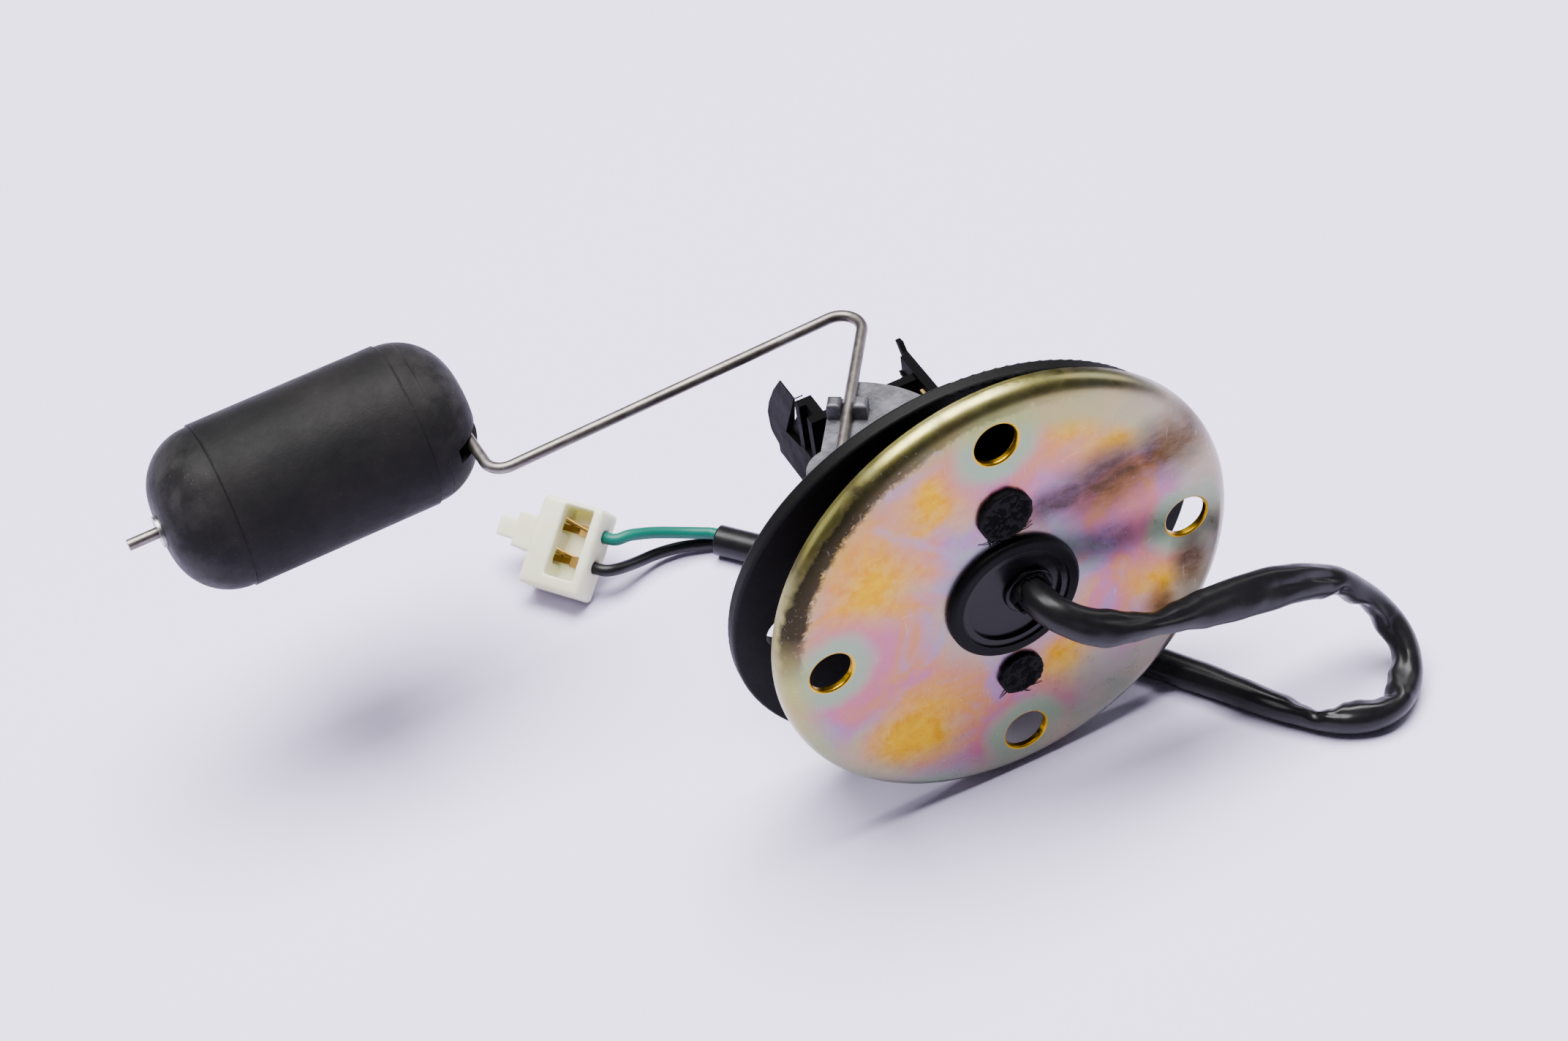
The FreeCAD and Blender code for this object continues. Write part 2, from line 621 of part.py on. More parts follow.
def resistor_card():
    """The board on its two ledges, held by two pegs."""
    body = new_body("card_body")
    sketch = new_sketch(body, "XY_Plane", "card_outline", d.ledge_top)
    right = card_edge()
    outline(sketch, [
        (d.card_left, d.card_low), (right, d.card_low), (right, d.card_high - d.card_snip),
        (right - d.card_snip, d.card_high), (d.card_left, d.card_high),
    ])
    pad(body, sketch, d.card_thick)
    pegs = new_sketch(body, "XY_Plane", "card_peg_holes")
    for y in (d.card_low + d.peg_inset, d.card_high - d.peg_inset):
        ring(pegs, d.peg_radius + d.snug_gap, d.card_left + d.ledge_wide / 2, y)
    pocket(body, pegs)
    return node(body, "resistor_card")


def printed_arc(label, radius, wide):
    """An arc about the hinge, printed on the card."""
    card_top = d.ledge_top + d.card_thick
    disc = cylinder(label + "_disc", radius + wide / 2, d.track_thick, d.hinge_x, d.hinge_y, card_top)
    middle = cylinder(label + "_middle", radius - wide / 2, d.track_thick + d.through, d.hinge_x, d.hinge_y,
                      card_top - d.snug_gap)
    window = box(label + "_field", (d.card_left + d.print_side, d.card_low + d.print_margin, card_top - d.snug_gap),
                 (card_edge() - d.print_side, d.card_high - d.print_margin, card_top + d.through))
    common = doc.addObject("Part::MultiCommon", label + "_print")
    common.Shapes = [cut(label + "_band", disc, [middle]), window]
    return node(common, label)


def card_tab(label, y):
    """A brass tab at the card's edge: a foot on the card, an upright blade and a wing for the lead below."""
    card_top = d.ledge_top + d.card_thick
    start = card_edge() + d.snug_gap
    end = start + d.tab_thick
    low = d.floor_top + d.snug_gap
    foot = box(label + "_foot", (start - d.tab_foot, y, card_top), (end, y + d.tab_wide, card_top + d.tab_thick))
    blade = box(label + "_blade", (start, y, low), (end, y + d.tab_wide, d.tab_top))
    wing = box(label + "_wing", (start - d.tab_wing, y, low), (end, y + d.tab_thick, low + d.tab_wing_high))
    return node(fuse(label + "_whole", [foot, blade, wing]), label)


# Moving side

def arm_points():
    """The centre line of the float wire, from the end of its pivot to its tip."""
    def step(point, length, angle):
        turn = math.radians(angle.value)
        return point + Vector(math.cos(turn), math.sin(turn), 0) * length.value
    shaft_low = d.tray_low - d.shaft_over
    low = Vector(d.hinge_x.value, d.hinge_y.value, shaft_low.value)
    hinge = Vector(d.hinge_x.value, d.hinge_y.value, d.arm_plane.value)
    crank = step(hinge, d.crank_length, d.crank_angle)
    reach = step(crank, d.reach_length, d.reach_angle)
    drop = step(reach, d.drop_length, d.drop_angle)
    tip = step(drop, d.float_length - d.float_inset + d.rod_spare, d.rod_angle)
    return [low, hinge, crank, reach, drop, tip]


def float_arm():
    bends = [size.value for size in (d.shaft_bend, d.wire_bend, d.elbow_bend, d.float_bend)]
    return tube("arm_wire", "float_arm", arm_points(), d.wire_dia, fixed_bends(bends))


def rotor():
    """The die cast rotor: a boss on the pivot, a sector, and two lugs that hold the wire."""
    top = d.arm_plane - d.wire_dia / 2 - d.snug_gap
    under = top - d.rotor_thick
    sector = doc.addObject("Part::Cylinder", "rotor_sector")
    set_size(sector, "Radius", d.rotor_radius)
    set_size(sector, "Height", d.rotor_thick)
    set_size(sector, "Angle", d.rotor_sweep)
    place(sector, 0, 0, under, Rotation(Vector(0, 0, 1), -d.rotor_sweep.value))
    boss = cylinder("rotor_boss", d.rotor_boss, top - d.rim_top - d.moving_gap, 0, 0, d.rim_top + d.moving_gap)
    strip = box("rotor_strip", (0, 0, under), (d.rotor_strip_long, d.rotor_strip_wide, top))
    solids = [sector, boss, strip]
    lug_gap = d.wire_dia / 2 + d.snug_gap
    for word, side in (("left", 1), ("right", -1)):
        start = lug_gap if side > 0 else -lug_gap - d.lug_wide
        block = box(word + "_lug_block", (d.lug_reach - d.lug_long / 2, start, under),
                    (d.lug_reach + d.lug_long / 2, start + d.lug_wide, top + d.lug_high))
        crown = (top + d.lug_high).value
        solids.append(fillet(word + "_lug", block, d.lug_round,
                             lambda edge: min(vertex.Z for vertex in edge.Vertexes) > crown - 1e-3))
    whole = fuse("rotor_whole", solids)
    bore = cylinder("rotor_bore", lug_gap, top - d.rim_top + d.through, 0, 0, d.rim_top)
    # the wire turns down into the bore over a rounded throat
    throat = box("rotor_throat", (0, -lug_gap, top - d.shaft_bend),
                 (d.shaft_bend + d.snug_gap, lug_gap, top + d.through))
    body = cut("rotor_finished", whole, [bore, throat])
    place(body, d.hinge_x, d.hinge_y, 0, Rotation(Vector(0, 0, 1), d.crank_angle.value))
    return node(body, "rotor")


def wiper():
    """A folded spring strip on the rotor's underside, with one finger over each printed arc."""
    under = d.arm_plane - d.wire_dia / 2 - d.snug_gap - d.rotor_thick
    contact = d.ledge_top + d.card_thick + d.track_thick + d.wiper_gap
    leaf = d.wiper_thick
    heel = -d.wiper_run
    toe = heel - d.wiper_toe
    ball = heel - d.wiper_toe / 2
    fingers = []
    for word, radius in (("return", d.return_radius), ("track", d.track_radius)):
        body = new_body(word + "_finger")
        sketch = new_sketch(body, "YZ_Plane", word + "_finger_side", radius)
        outline(sketch, [
            (d.wiper_root, under), (d.wiper_root, under - leaf), (0, under - leaf),
            (heel, contact + d.wiper_drop - leaf), (ball, contact), (toe, contact + d.wiper_lift),
            (toe, contact + d.wiper_lift + leaf), (ball, contact + leaf), (heel, contact + d.wiper_drop),
            (-leaf, under),
        ])
        pad(body, sketch, d.wiper_wide, centred=True)
        fingers.append(body)
    half = d.wiper_wide / 2
    bridge = box("wiper_bridge", (d.return_radius - half, d.wiper_root - d.wiper_bridge, under - leaf),
                 (d.track_radius + half, d.wiper_root, under))
    spring = fuse("wiper_spring_body", fingers + [bridge])
    place(spring, d.hinge_x, d.hinge_y, 0, Rotation(Vector(0, 0, 1), (d.crank_angle + d.wiper_angle).value))
    return node(spring, "wiper_spring")


def pivot_clip():
    """The spring washer pressed on the end of the pivot, below the frame's boss."""
    low = d.tray_low - d.moving_gap - d.clip_thick
    disc = cylinder("clip_disc", d.clip_radius, d.clip_thick, d.hinge_x, d.hinge_y, low)
    bore = cylinder("clip_bore", d.wire_dia / 2 + d.snug_gap / 2, d.clip_thick + d.through * 2,
                    d.hinge_x, d.hinge_y, low - d.through)
    return node(cut("clip_finished", disc, [bore]), "pivot_clip")


def float_placement(distance):
    """A place along the float's rod, that far from its last bend, with +X back towards the bend."""
    bend = arm_points()[-2]
    turn = math.radians(d.rod_angle.value)
    spot = bend + Vector(math.cos(turn), math.sin(turn), 0) * distance
    return FreeCAD.Placement(spot, Rotation(Vector(0, 0, 1), d.rod_angle.value - 180))


def foam_float():
    """A foam cylinder with domed ends, a slightly larger barrel, a bore and a slot for the wire's last bend."""
    body = new_body("float_body")
    half = d.float_length / 2
    seam = half - d.cap_length
    profile = new_sketch(body, "XY_Plane", "float_profile")
    outline(profile, [
        (-half, 0), (-half, d.cap_radius), (-seam, d.cap_radius), (-seam, d.barrel_radius),
        (seam, d.barrel_radius), (seam, d.cap_radius), (half, d.cap_radius), (half, 0),
    ])
    revolve(body, profile, "H_Axis")
    for end in (-1, 1):
        reach = half.value * end
        round_edges(body, d.cap_round, lambda edge: is_circle(edge, d.cap_radius.value, 0, reach))
    bore = new_sketch(body, "YZ_Plane", "float_bore")
    ring(bore, d.wire_dia / 2 + d.snug_gap)
    pocket(body, bore)
    slot = new_sketch(body, "XY_Plane", "float_slot")
    deep = d.wire_dia / 2 + d.snug_gap
    side = d.barrel_radius + d.through
    slot_end = half - d.float_inset - d.float_bend - d.slot_spare
    outline(slot, [(slot_end, -side), (half + d.through, -side), (half + d.through, deep), (slot_end, deep)])
    pocket(body, slot, d.slot_wide)
    body.Placement = float_placement((half - d.float_inset).value)
    return node(body, "foam_float")


def float_push_nut():
    disc = cylinder("nut_disc", d.nut_radius, d.nut_thick, 0, 0, 0, "X")
    bore = cylinder("nut_bore", d.wire_dia / 2 + d.snug_gap / 2, d.nut_thick + d.through * 2, -d.through, 0, 0, "X")
    nut = cut("nut_finished", disc, [bore])
    nut.Placement = float_placement((d.float_length - d.float_inset + d.nut_thick).value)
    return node(nut, "float_push_nut")


# Cable and connector

# The sleeve's way from the grommet, round its loop and below the flange
SLEEVE_ROUTE = [
    (6.4, -8.6, -2.8), (12.2, -9.5, -5.5), (19.2, -9.6, -7.7), (28.6, -9.4, -9.1), (38.6, -8.2, -12.1),
    (47.4, -6.6, -17.7), (53.3, -7.4, -24.6), (55.8, -11.6, -29.8), (53.2, -17.4, -32.5), (47.4, -20.8, -32.5),
    (41.2, -18.8, -32.5), (35.2, -11.4, -32.5), (29.6, -1.8, -32.5), (21.0, 10.6, -32.5), (9.6, 27.2, -32.5),
    (-3.2, 44.4, -32.5), (-13.4, 57.6, -32.5), (-19.2, 64.8, -32.5),
]
GREEN_ROUTE = [(-24.0, 67.3, -30.4), (-28.6, 68.2, -28.6), (-32.6, 68.0, -26.9)]
BLACK_ROUTE = [(-24.4, 67.6, -33.4), (-28.6, 68.0, -33.0), (-32.6, 66.8, -31.9), (-35.9, 65.4, -30.3)]


def plug_placement():
    """The connector's place: x across it, y towards its leads, z out of its window."""
    turn = Rotation(Vector(0, 0, 1), d.plug_turn.value)
    roll = Rotation(Vector(0, 1, 0), d.plug_roll.value)
    return FreeCAD.Placement(Vector(d.plug_x.value, d.plug_y.value, d.plug_z.value), turn.multiply(roll))


def way_places():
    """Where each of the connector's two ways lies across it."""
    return {"green": d.way_shift - d.way_spread, "black": d.way_shift + d.way_spread}


def cable():
    """The sleeve, and the two leads that come out of its end and run to the connector."""
    socket = collar_front() + d.socket_deep
    start = Vector(d.cable_x.value, socket.value, d.cable_z.value)
    straight = Vector(0, -(d.sleeve_dia + d.collar_high).value, 0)
    sleeve = [start, start + straight] + [Vector(*point) for point in SLEEVE_ROUTE]
    tube("sleeve_tube", "cable_sleeve", sleeve, d.sleeve_dia, soft_bend)
    end = sleeve[-1]
    along = (end - sleeve[-2]).normalize()
    plug = plug_placement()
    back = d.shell_long / 2
    for word, route, side in (("green", GREEN_ROUTE, 1), ("black", BLACK_ROUTE, -1)):
        leave = end + Vector(0, 0, 1) * (d.lead_spread.value * side)
        way = way_places()[word]
        outside = plug.multVec(Vector(way.value, (back + d.lead_dia).value, d.way_low.value))
        inside = plug.multVec(Vector(way.value, (back - d.lead_straight).value, d.way_low.value))
        points = [leave, leave + along * d.lead_straight.value]
        points += [Vector(*point) for point in route]
        points += [outside, inside]
        tube(word + "_lead_tube", word + "_lead", points, d.lead_dia, soft_bend)


def inner_leads():
    """The two leads from the grommet's back, through the cup, to the tabs below the card."""
    start = (d.plate_thick + d.lip_thick).value
    height = (d.floor_top + d.lead_dia / 2 + d.snug_gap).value
    tabs = tab_places()
    stagger = d.lead_stagger.value
    reach = (card_edge() - d.lead_near_tab).value
    near_end = tabs["ground_tab"].value
    far_end = tabs["signal_tab"].value
    passage = d.cup_top.value
    black = [
        (stagger, start), (stagger, start + (passage - start) * 0.45), (reach, passage - 0.1), (reach, near_end),
    ]
    green = [
        (-stagger, start), (-stagger, passage), (0.3 * stagger, passage + (far_end - passage) * 0.4),
        (reach, passage + (far_end - passage) * 0.75), (reach, far_end),
    ]
    for label, route in (("inner_green_lead", green), ("inner_black_lead", black)):
        points = [Vector(x, y, height) for x, y in route]
        tube(label + "_tube", label, points, d.lead_dia, soft_bend)


def connector_shell():
    """A two way shell with a stepped nose and an open window over its contacts."""
    half = d.shell_wide / 2
    back = d.shell_long / 2
    thick = d.shell_thick / 2
    front = -back
    block = box("shell_block", (-half, front, -thick), (half, back, thick))
    shell_round = d.shell_round
    main = fillet("shell_main", block, shell_round, lambda edge: True)
    middle = d.way_shift
    neck_end = front - d.neck_long
    neck = box("shell_neck", (middle - d.neck_wide / 2, neck_end, -d.neck_thick / 2),
               (middle + d.neck_wide / 2, front + d.shell_round, d.neck_thick / 2))
    tongue = box("shell_tongue", (middle - d.tongue_wide / 2, neck_end - d.tongue_long, -d.tongue_thick / 2),
                 (middle + d.tongue_wide / 2, neck_end + d.snug_gap, d.tongue_thick / 2))
    floor = d.shell_wall - thick
    window = box("shell_window", (middle - d.window_half, d.window_front, floor),
                 (middle + d.window_half, d.window_back, thick + d.through))
    tools = [window]
    for word, x in way_places().items():
        half_way = d.contact_half + d.way_gap
        tools.append(box(word + "_way", (x - half_way, front + d.shell_wall, floor),
                         (x + half_way, d.window_front + d.snug_gap, d.way_front)))
        tools.append(cylinder(word + "_lead_hole", d.lead_dia / 2 + d.snug_gap, d.shell_long,
                              x, d.window_back - d.snug_gap, d.way_low, "Y"))
    shell = cut("shell_finished", fuse("shell_whole", [main, neck, tongue]), tools)
    shell.Placement = plug_placement()
    return node(shell, "connector_shell")


def contact(word, x):
    """A brass contact in its way: a box, a lance beside it, a foot to the front and a crimp on the lead."""
    back = d.shell_long / 2
    low = d.shell_wall - d.shell_thick / 2 + d.snug_gap
    box_start = d.window_front + (d.window_back - d.window_front) / 2
    box_end = d.window_back - d.way_gap
    foot_start = d.shell_wall + d.way_gap - back
    left = x - d.contact_half
    pieces = [
        box(word + "_contact_box", (left, box_start, low), (x + d.contact_half, box_end, d.contact_high)),
        box(word + "_contact_foot", (x - d.contact_foot, foot_start, low),
            (x + d.contact_foot, box_start + d.snug_gap, low + d.contact_leaf)),
        box(word + "_contact_lance", (left, d.window_front - d.contact_leaf, low),
            (left + d.contact_leaf, box_start + d.snug_gap, d.contact_high)),
        box(word + "_contact_heel", (left, d.window_front - d.contact_leaf, low),
            (x + d.snug_gap, d.window_front, low + d.contact_leaf)),
        box(word + "_contact_crimp", (x - d.contact_crimp, box_end - d.snug_gap, d.way_low - d.contact_crimp),
            (x + d.contact_crimp, back - d.lead_straight, d.way_low + d.contact_crimp)),
    ]
    whole = fuse(word + "_contact", pieces)
    whole.Placement = plug_placement()
    return node(whole, word + "_terminal")


def check_document():
    doc.recompute()
    for thing in doc.Objects:
        if "Invalid" in thing.State or "Error" in thing.State:
            raise RuntimeError(f"{thing.Name} is {thing.State}")
    for thing in NODES:
        if thing.Shape.isNull() or not thing.Shape.isValid():
            raise RuntimeError(f"{thing.Label} has no valid shape")


flange_plate()
flange_gasket()
cable_grommet()
sensor_frame()
resistor_card()
printed_arc("resistor_track", d.track_radius, d.track_wide)
printed_arc("return_track", d.return_radius, d.return_wide)
for tab_label, tab_start in tab_places().items():
    card_tab(tab_label, tab_start)
float_arm()
rotor()
wiper()
pivot_clip()
foam_float()
float_push_nut()
cable()
inner_leads()
connector_shell()
for way_word, way_x in way_places().items():
    contact(way_word, way_x)
check_document()
for thing in NODES:
    thing.Shape.exportStep(f"parts/{thing.Label}.step")
print(f"{len(NODES)} parts written")
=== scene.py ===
import math
import random

import bpy
from mathutils import Matrix, Vector, noise


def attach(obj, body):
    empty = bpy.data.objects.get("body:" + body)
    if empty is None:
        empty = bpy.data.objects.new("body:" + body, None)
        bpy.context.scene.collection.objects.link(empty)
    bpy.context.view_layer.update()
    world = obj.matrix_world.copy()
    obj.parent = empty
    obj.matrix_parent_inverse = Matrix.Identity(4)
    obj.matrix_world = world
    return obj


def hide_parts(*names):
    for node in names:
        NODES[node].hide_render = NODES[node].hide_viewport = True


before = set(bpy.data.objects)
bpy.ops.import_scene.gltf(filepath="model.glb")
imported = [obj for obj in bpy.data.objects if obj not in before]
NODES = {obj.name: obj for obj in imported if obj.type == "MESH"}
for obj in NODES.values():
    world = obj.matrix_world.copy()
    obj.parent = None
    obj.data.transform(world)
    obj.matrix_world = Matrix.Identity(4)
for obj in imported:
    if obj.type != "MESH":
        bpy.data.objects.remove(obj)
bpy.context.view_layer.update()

# The table's height, in metres
TABLE = -0.035
# From the flange's middle to each bolt hole and to each stud, in millimetres
BOLT_REACH = 27.7
STUD_REACH = 15.3


# Node helpers

class Nodes:
    """Short calls that add nodes to a shader tree. A value is a number, a colour or another node's output."""

    def __init__(self, tree, place):
        self.tree = tree
        self.place = place

    def put(self, socket, value):
        """Links an output to a socket, or sets a constant on it."""
        if isinstance(value, bpy.types.NodeSocket):
            self.tree.links.new(value, socket)
        elif socket.type == "RGBA":
            socket.default_value = (*value, 1.0)
        else:
            socket.default_value = value

    def new(self, kind, **inputs):
        """A node of a kind, with its inputs given by name."""
        node = self.tree.nodes.new(kind)
        for name, value in inputs.items():
            self.put(node.inputs[name.replace("_", " ")], value)
        return node

    def placed(self, group, **inputs):
        """A node group on this tree's coordinates, with its own values."""
        node = self.tree.nodes.new("ShaderNodeGroup")
        node.node_tree = group
        for name, value in {"Vector": self.place, **inputs}.items():
            self.put(node.inputs[name.replace("_", " ")], value)
        return node.outputs[0]

    def noise(self, scale, detail=3.0, roughness=0.55, distortion=0.0, where=None):
        """A soft noise, about 0.5 in the middle."""
        where = self.place if where is None else where
        node = self.new("ShaderNodeTexNoise", Vector=where, Scale=scale, Detail=detail, Roughness=roughness,
                        Distortion=distortion)
        return node.outputs["Fac"]

    def cells(self, scale):
        """The distance to the nearest of many scattered points."""
        return self.new("ShaderNodeTexVoronoi", Vector=self.place, Scale=scale).outputs["Distance"]

    def stretch(self, scale, turn, where=None):
        """The coordinates scaled and turned."""
        where = self.place if where is None else where
        return self.new("ShaderNodeMapping", Vector=where, Rotation=turn, Scale=scale).outputs[0]

    def ramp(self, factor, stops):
        """A colour that runs through the stops, each a position with a colour."""
        node = self.tree.nodes.new("ShaderNodeValToRGB")
        elements = node.color_ramp.elements
        while len(elements) < len(stops):
            elements.new(0.5)
        for element, (position, colour) in zip(elements, stops):
            element.position = position
            element.color = (*colour, 1.0)
        self.put(node.inputs[0], factor)
        return node.outputs[0]

    def math(self, operation, first, second=0.0, clamp=False):
        """One step of arithmetic, kept between 0 and 1 where it is clamped."""
        node = self.tree.nodes.new("ShaderNodeMath")
        node.operation = operation
        node.use_clamp = clamp
        self.put(node.inputs[0], first)
        self.put(node.inputs[1], second)
        return node.outputs[0]

    def times(self, *values):
        """The values multiplied together."""
        whole = values[0]
        for value in values[1:]:
            whole = self.math("MULTIPLY", whole, value)
        return whole

    def most(self, values):
        """The largest of the values."""
        whole = values[0]
        for value in values[1:]:
            whole = self.math("MAXIMUM", whole, value)
        return whole

    def mix(self, factor, first, second):
        """The first colour at 0, the second at 1."""
        node = self.tree.nodes.new("ShaderNodeMix")
        node.data_type = "RGBA"
        self.put(node.inputs["Factor"], factor)
        self.put(node.inputs[6], first)
        self.put(node.inputs[7], second)
        return node.outputs[2]

    def vector(self, operation, first, second=(0.0, 0.0, 0.0)):
        node = self.tree.nodes.new("ShaderNodeVectorMath")
        node.operation = operation
        self.put(node.inputs[0], first)
        self.put(node.inputs[1], second)
        return node.outputs["Value" if operation in ("LENGTH", "DOT_PRODUCT") else "Vector"]

    def wander(self, scale, reach):
        """The coordinates pushed about by a soft noise."""
        cloud = self.new("ShaderNodeTexNoise", Vector=self.place, Scale=scale, Detail=4.0).outputs["Color"]
        push = self.vector("MULTIPLY", self.vector("SUBTRACT", cloud, (0.5, 0.5, 0.5)), (reach, reach, reach))
        return self.vector("ADD", self.place, push)

    def patch(self, where, x, z, wide, high, inner=0.35, outer=1.25):
        """One inside an oval on the flange's face, fading to nothing outside it. Sizes in millimetres."""
        away = self.vector("SUBTRACT", where, (x / 1000, 0.0, z / 1000))
        away = self.vector("MULTIPLY", away, (1000 / wide, 0.0, 1000 / high))
        return self.span(self.vector("LENGTH", away), inner, outer, 1.0, 0.0)

    def axis(self, index, where):
        """One coordinate: 0 is x, 1 is y and 2 is z."""
        return self.new("ShaderNodeSeparateXYZ", Vector=where).outputs[index]

    def span(self, value, low, high, to_low=0.0, to_high=1.0):
        """The value mapped from one range to another, held at its ends."""
        node = self.tree.nodes.new("ShaderNodeMapRange")
        for index, number in enumerate((value, low, high, to_low, to_high)):
            self.put(node.inputs[index], number)
        return node.outputs[0]

    def bump(self, height, strength, distance, below=None):
        """A normal from a height, over another normal where one is given."""
        node = self.new("ShaderNodeBump", Strength=strength, Distance=distance, Height=height)
        if below is not None:
            self.put(node.inputs["Normal"], below)
        return node.outputs[0]


class Shader(Nodes):
    """A material with one surface, on the object's own coordinates."""

    def __init__(self, name):
        self.material = bpy.data.materials.new(name)
        self.material.use_nodes = True
        tree = self.material.node_tree
        tree.nodes.clear()
        super().__init__(tree, tree.nodes.new("ShaderNodeTexCoord").outputs["Object"])
        self.surface = tree.nodes.new("ShaderNodeBsdfPrincipled")
        output = tree.nodes.new("ShaderNodeOutputMaterial")
        tree.links.new(self.surface.outputs[0], output.inputs[0])

    def finish(self, **values):
        """Sets the surface's inputs by name, and gives the material."""
        for name, value in values.items():
            self.put(self.surface.inputs[name.replace("_", " ")], value)
        return self.material


class Group(Nodes):
    """A shader node group with coordinates and named numbers as its inputs, and one output."""

    def __init__(self, name, numbers, output, kind):
        tree = bpy.data.node_groups.new(name, "ShaderNodeTree")
        tree.interface.new_socket("Vector", in_out="INPUT", socket_type="NodeSocketVector")
        for label, number in numbers.items():
            socket = tree.interface.new_socket(label, in_out="INPUT", socket_type="NodeSocketFloat")
            socket.default_value = number
        tree.interface.new_socket(output, in_out="OUTPUT", socket_type=kind)
        self.given = tree.nodes.new("NodeGroupInput").outputs
        self.result = tree.nodes.new("NodeGroupOutput").inputs[output]
        super().__init__(tree, self.given["Vector"])


def surface_grain():
    """A fine grain over a soft swell, as a normal."""
    numbers = {"Grain Scale": 1200.0, "Grain Detail": 3.0, "Grain Roughness": 0.55, "Grain Strength": 0.1,
               "Swell Scale": 220.0, "Swell Detail": 2.0, "Swell Strength": 0.0, "Swell Distance": 0.0006}
    group = Group("surface_grain", numbers, "Normal", "NodeSocketVector")
    given = group.given
    swell = group.noise(given["Swell Scale"], given["Swell Detail"])
    swell = group.bump(swell, given["Swell Strength"], given["Swell Distance"])
    grain = group.noise(given["Grain Scale"], given["Grain Detail"], given["Grain Roughness"])
    group.put(group.result, group.bump(grain, given["Grain Strength"], 0.0001, swell))
    return group.tree


def dust_specks():
    """Small round specks that lie in clouds, as a mask."""
    numbers = {"Spacing": 900.0, "Size": 0.07, "Cloud Scale": 160.0, "Cloud Detail": 3.0, "Low": 0.52,
               "High": 0.66, "Least": 0.0}
    group = Group("dust_specks", numbers, "Mask", "NodeSocketFloat")
    given = group.given
    specks = group.span(group.cells(given["Spacing"]), 0.0, given["Size"], 1.0, 0.0)
    clouds = group.noise(given["Cloud Scale"], given["Cloud Detail"])
    clouds = group.span(clouds, given["Low"], given["High"], given["Least"], 1.0)
    group.put(group.result, group.times(specks, clouds))
    return group.tree


GRAIN = surface_grain()
SPECKS = dust_specks()


def scaled(colour, factor):
    """The colour made darker or lighter."""
    return tuple(value * factor for value in colour)


# The flange's plating

def plating_clouds(shader, broad, fine):
    """The film away from holes and rim: gold clouds on pink and lilac, worn to silver at the lower right."""
    where = shader.wander(90.0, 0.011)
    film = shader.ramp(broad, [
        (0.32, (0.22, 0.28, 0.22)), (0.41, (0.27, 0.18, 0.27)), (0.50, (0.38, 0.17, 0.20)),
        (0.57, (0.42, 0.21, 0.13)), (0.66, (0.30, 0.19, 0.27)),
    ])
    # Each gold spot: x and z of its middle, half width and half height
    spots = ((-20.0, 13.0, 8.8, 8.0), (-9.3, 22.6, 6.2, 5.4), (-17.0, -18.3, 9.6, 7.6),
             (10.5, 25.8, 10.5, 4.8), (18.0, 20.5, 8.0, 5.5), (7.0, -18.0, 5.6, 6.4),
             (24.8, -10.0, 5.2, 8.5), (3.0, -29.5, 6.5, 3.2))
    gold = shader.most([shader.patch(where, *spot, 0.2, 1.45) for spot in spots])
    gold_film = shader.ramp(fine, [(0.35, (0.49, 0.255, 0.035)), (0.6, (0.58, 0.37, 0.085))])
    film = shader.mix(gold, film, gold_film)
    worn = shader.times(shader.patch(where, 12.0, -23.0, 8.5, 7.5, 0.4, 1.2), 0.85)
    return shader.mix(worn, film, (0.30, 0.285, 0.235))


def plating_rings(shader, film, near, flat, radius):
    """Pink and green rings round the bolt holes, gold lips, a silver rim and a green ring in the middle."""
    holes = ((BOLT_REACH, 0.0), (0.0, BOLT_REACH), (-BOLT_REACH, 0.0), (0.0, -BOLT_REACH))
    # Each ring: its reach from the hole's middle, its strength and its colour
    for size, strength, colour in ((9.5, 0.55, (0.38, 0.15, 0.21)), (6.6, 0.85, (0.20, 0.31, 0.20))):
        ring = shader.most([shader.patch(near, x, z, size, size, 0.75, 1.15) for x, z in holes])
        film = shader.mix(shader.times(ring, strength), film, colour)
    across = shader.axis(0, flat)
    rim_start = shader.span(across, -14.0, 8.0, 30.0, 26.0)
    rim = shader.math("MULTIPLY", shader.math("SUBTRACT", radius, rim_start), 0.28, clamp=True)
    cloud = shader.span(shader.noise(150.0, 3.0), 0.4, 0.6)
    rim_film = shader.mix(cloud, (0.24, 0.28, 0.21), (0.32, 0.30, 0.23))
    golden = shader.span(shader.math("SUBTRACT", shader.axis(2, flat), across), -5.0, 30.0)
    rim_film = shader.mix(shader.times(golden, 0.9), rim_film, (0.29, 0.31, 0.10))
    film = shader.mix(shader.times(rim, 0.8), film, rim_film)
    film = shader.mix(shader.span(radius, 10.0, 14.5, 0.55, 0.0), film, (0.21, 0.28, 0.24))
    lips = shader.most([shader.patch(shader.place, x, z, 3.5, 3.5, 0.97, 1.04) for x, z in holes])
    return shader.mix(lips, film, (0.62, 0.38, 0.06))


def plating_reflection_smear(shader, near):
    """Where a dark reflection is painted as dull brown streaky smears, on the right side."""
    reflection_smear = shader.most([
        shader.patch(near, 8.5, 13.4, 7.5, 3.4), shader.patch(near, 16.5, 13.6, 9.5, 6.2),
        shader.patch(near, 25.0, 14.6, 7.5, 6.0), shader.patch(near, 28.0, -8.5, 3.2, 6.5),
        shader.patch(near, 23.0, -14.5, 2.6, 3.6, 0.3, 1.4)])
    streaks = shader.noise(210.0, 7.0, 0.78, where=shader.stretch((1.0, 1.0, 1.9), (0.0, 0.35, 0.0)))
    return shader.times(reflection_smear, shader.span(streaks, 0.30, 0.62, 0.62, 1.0))


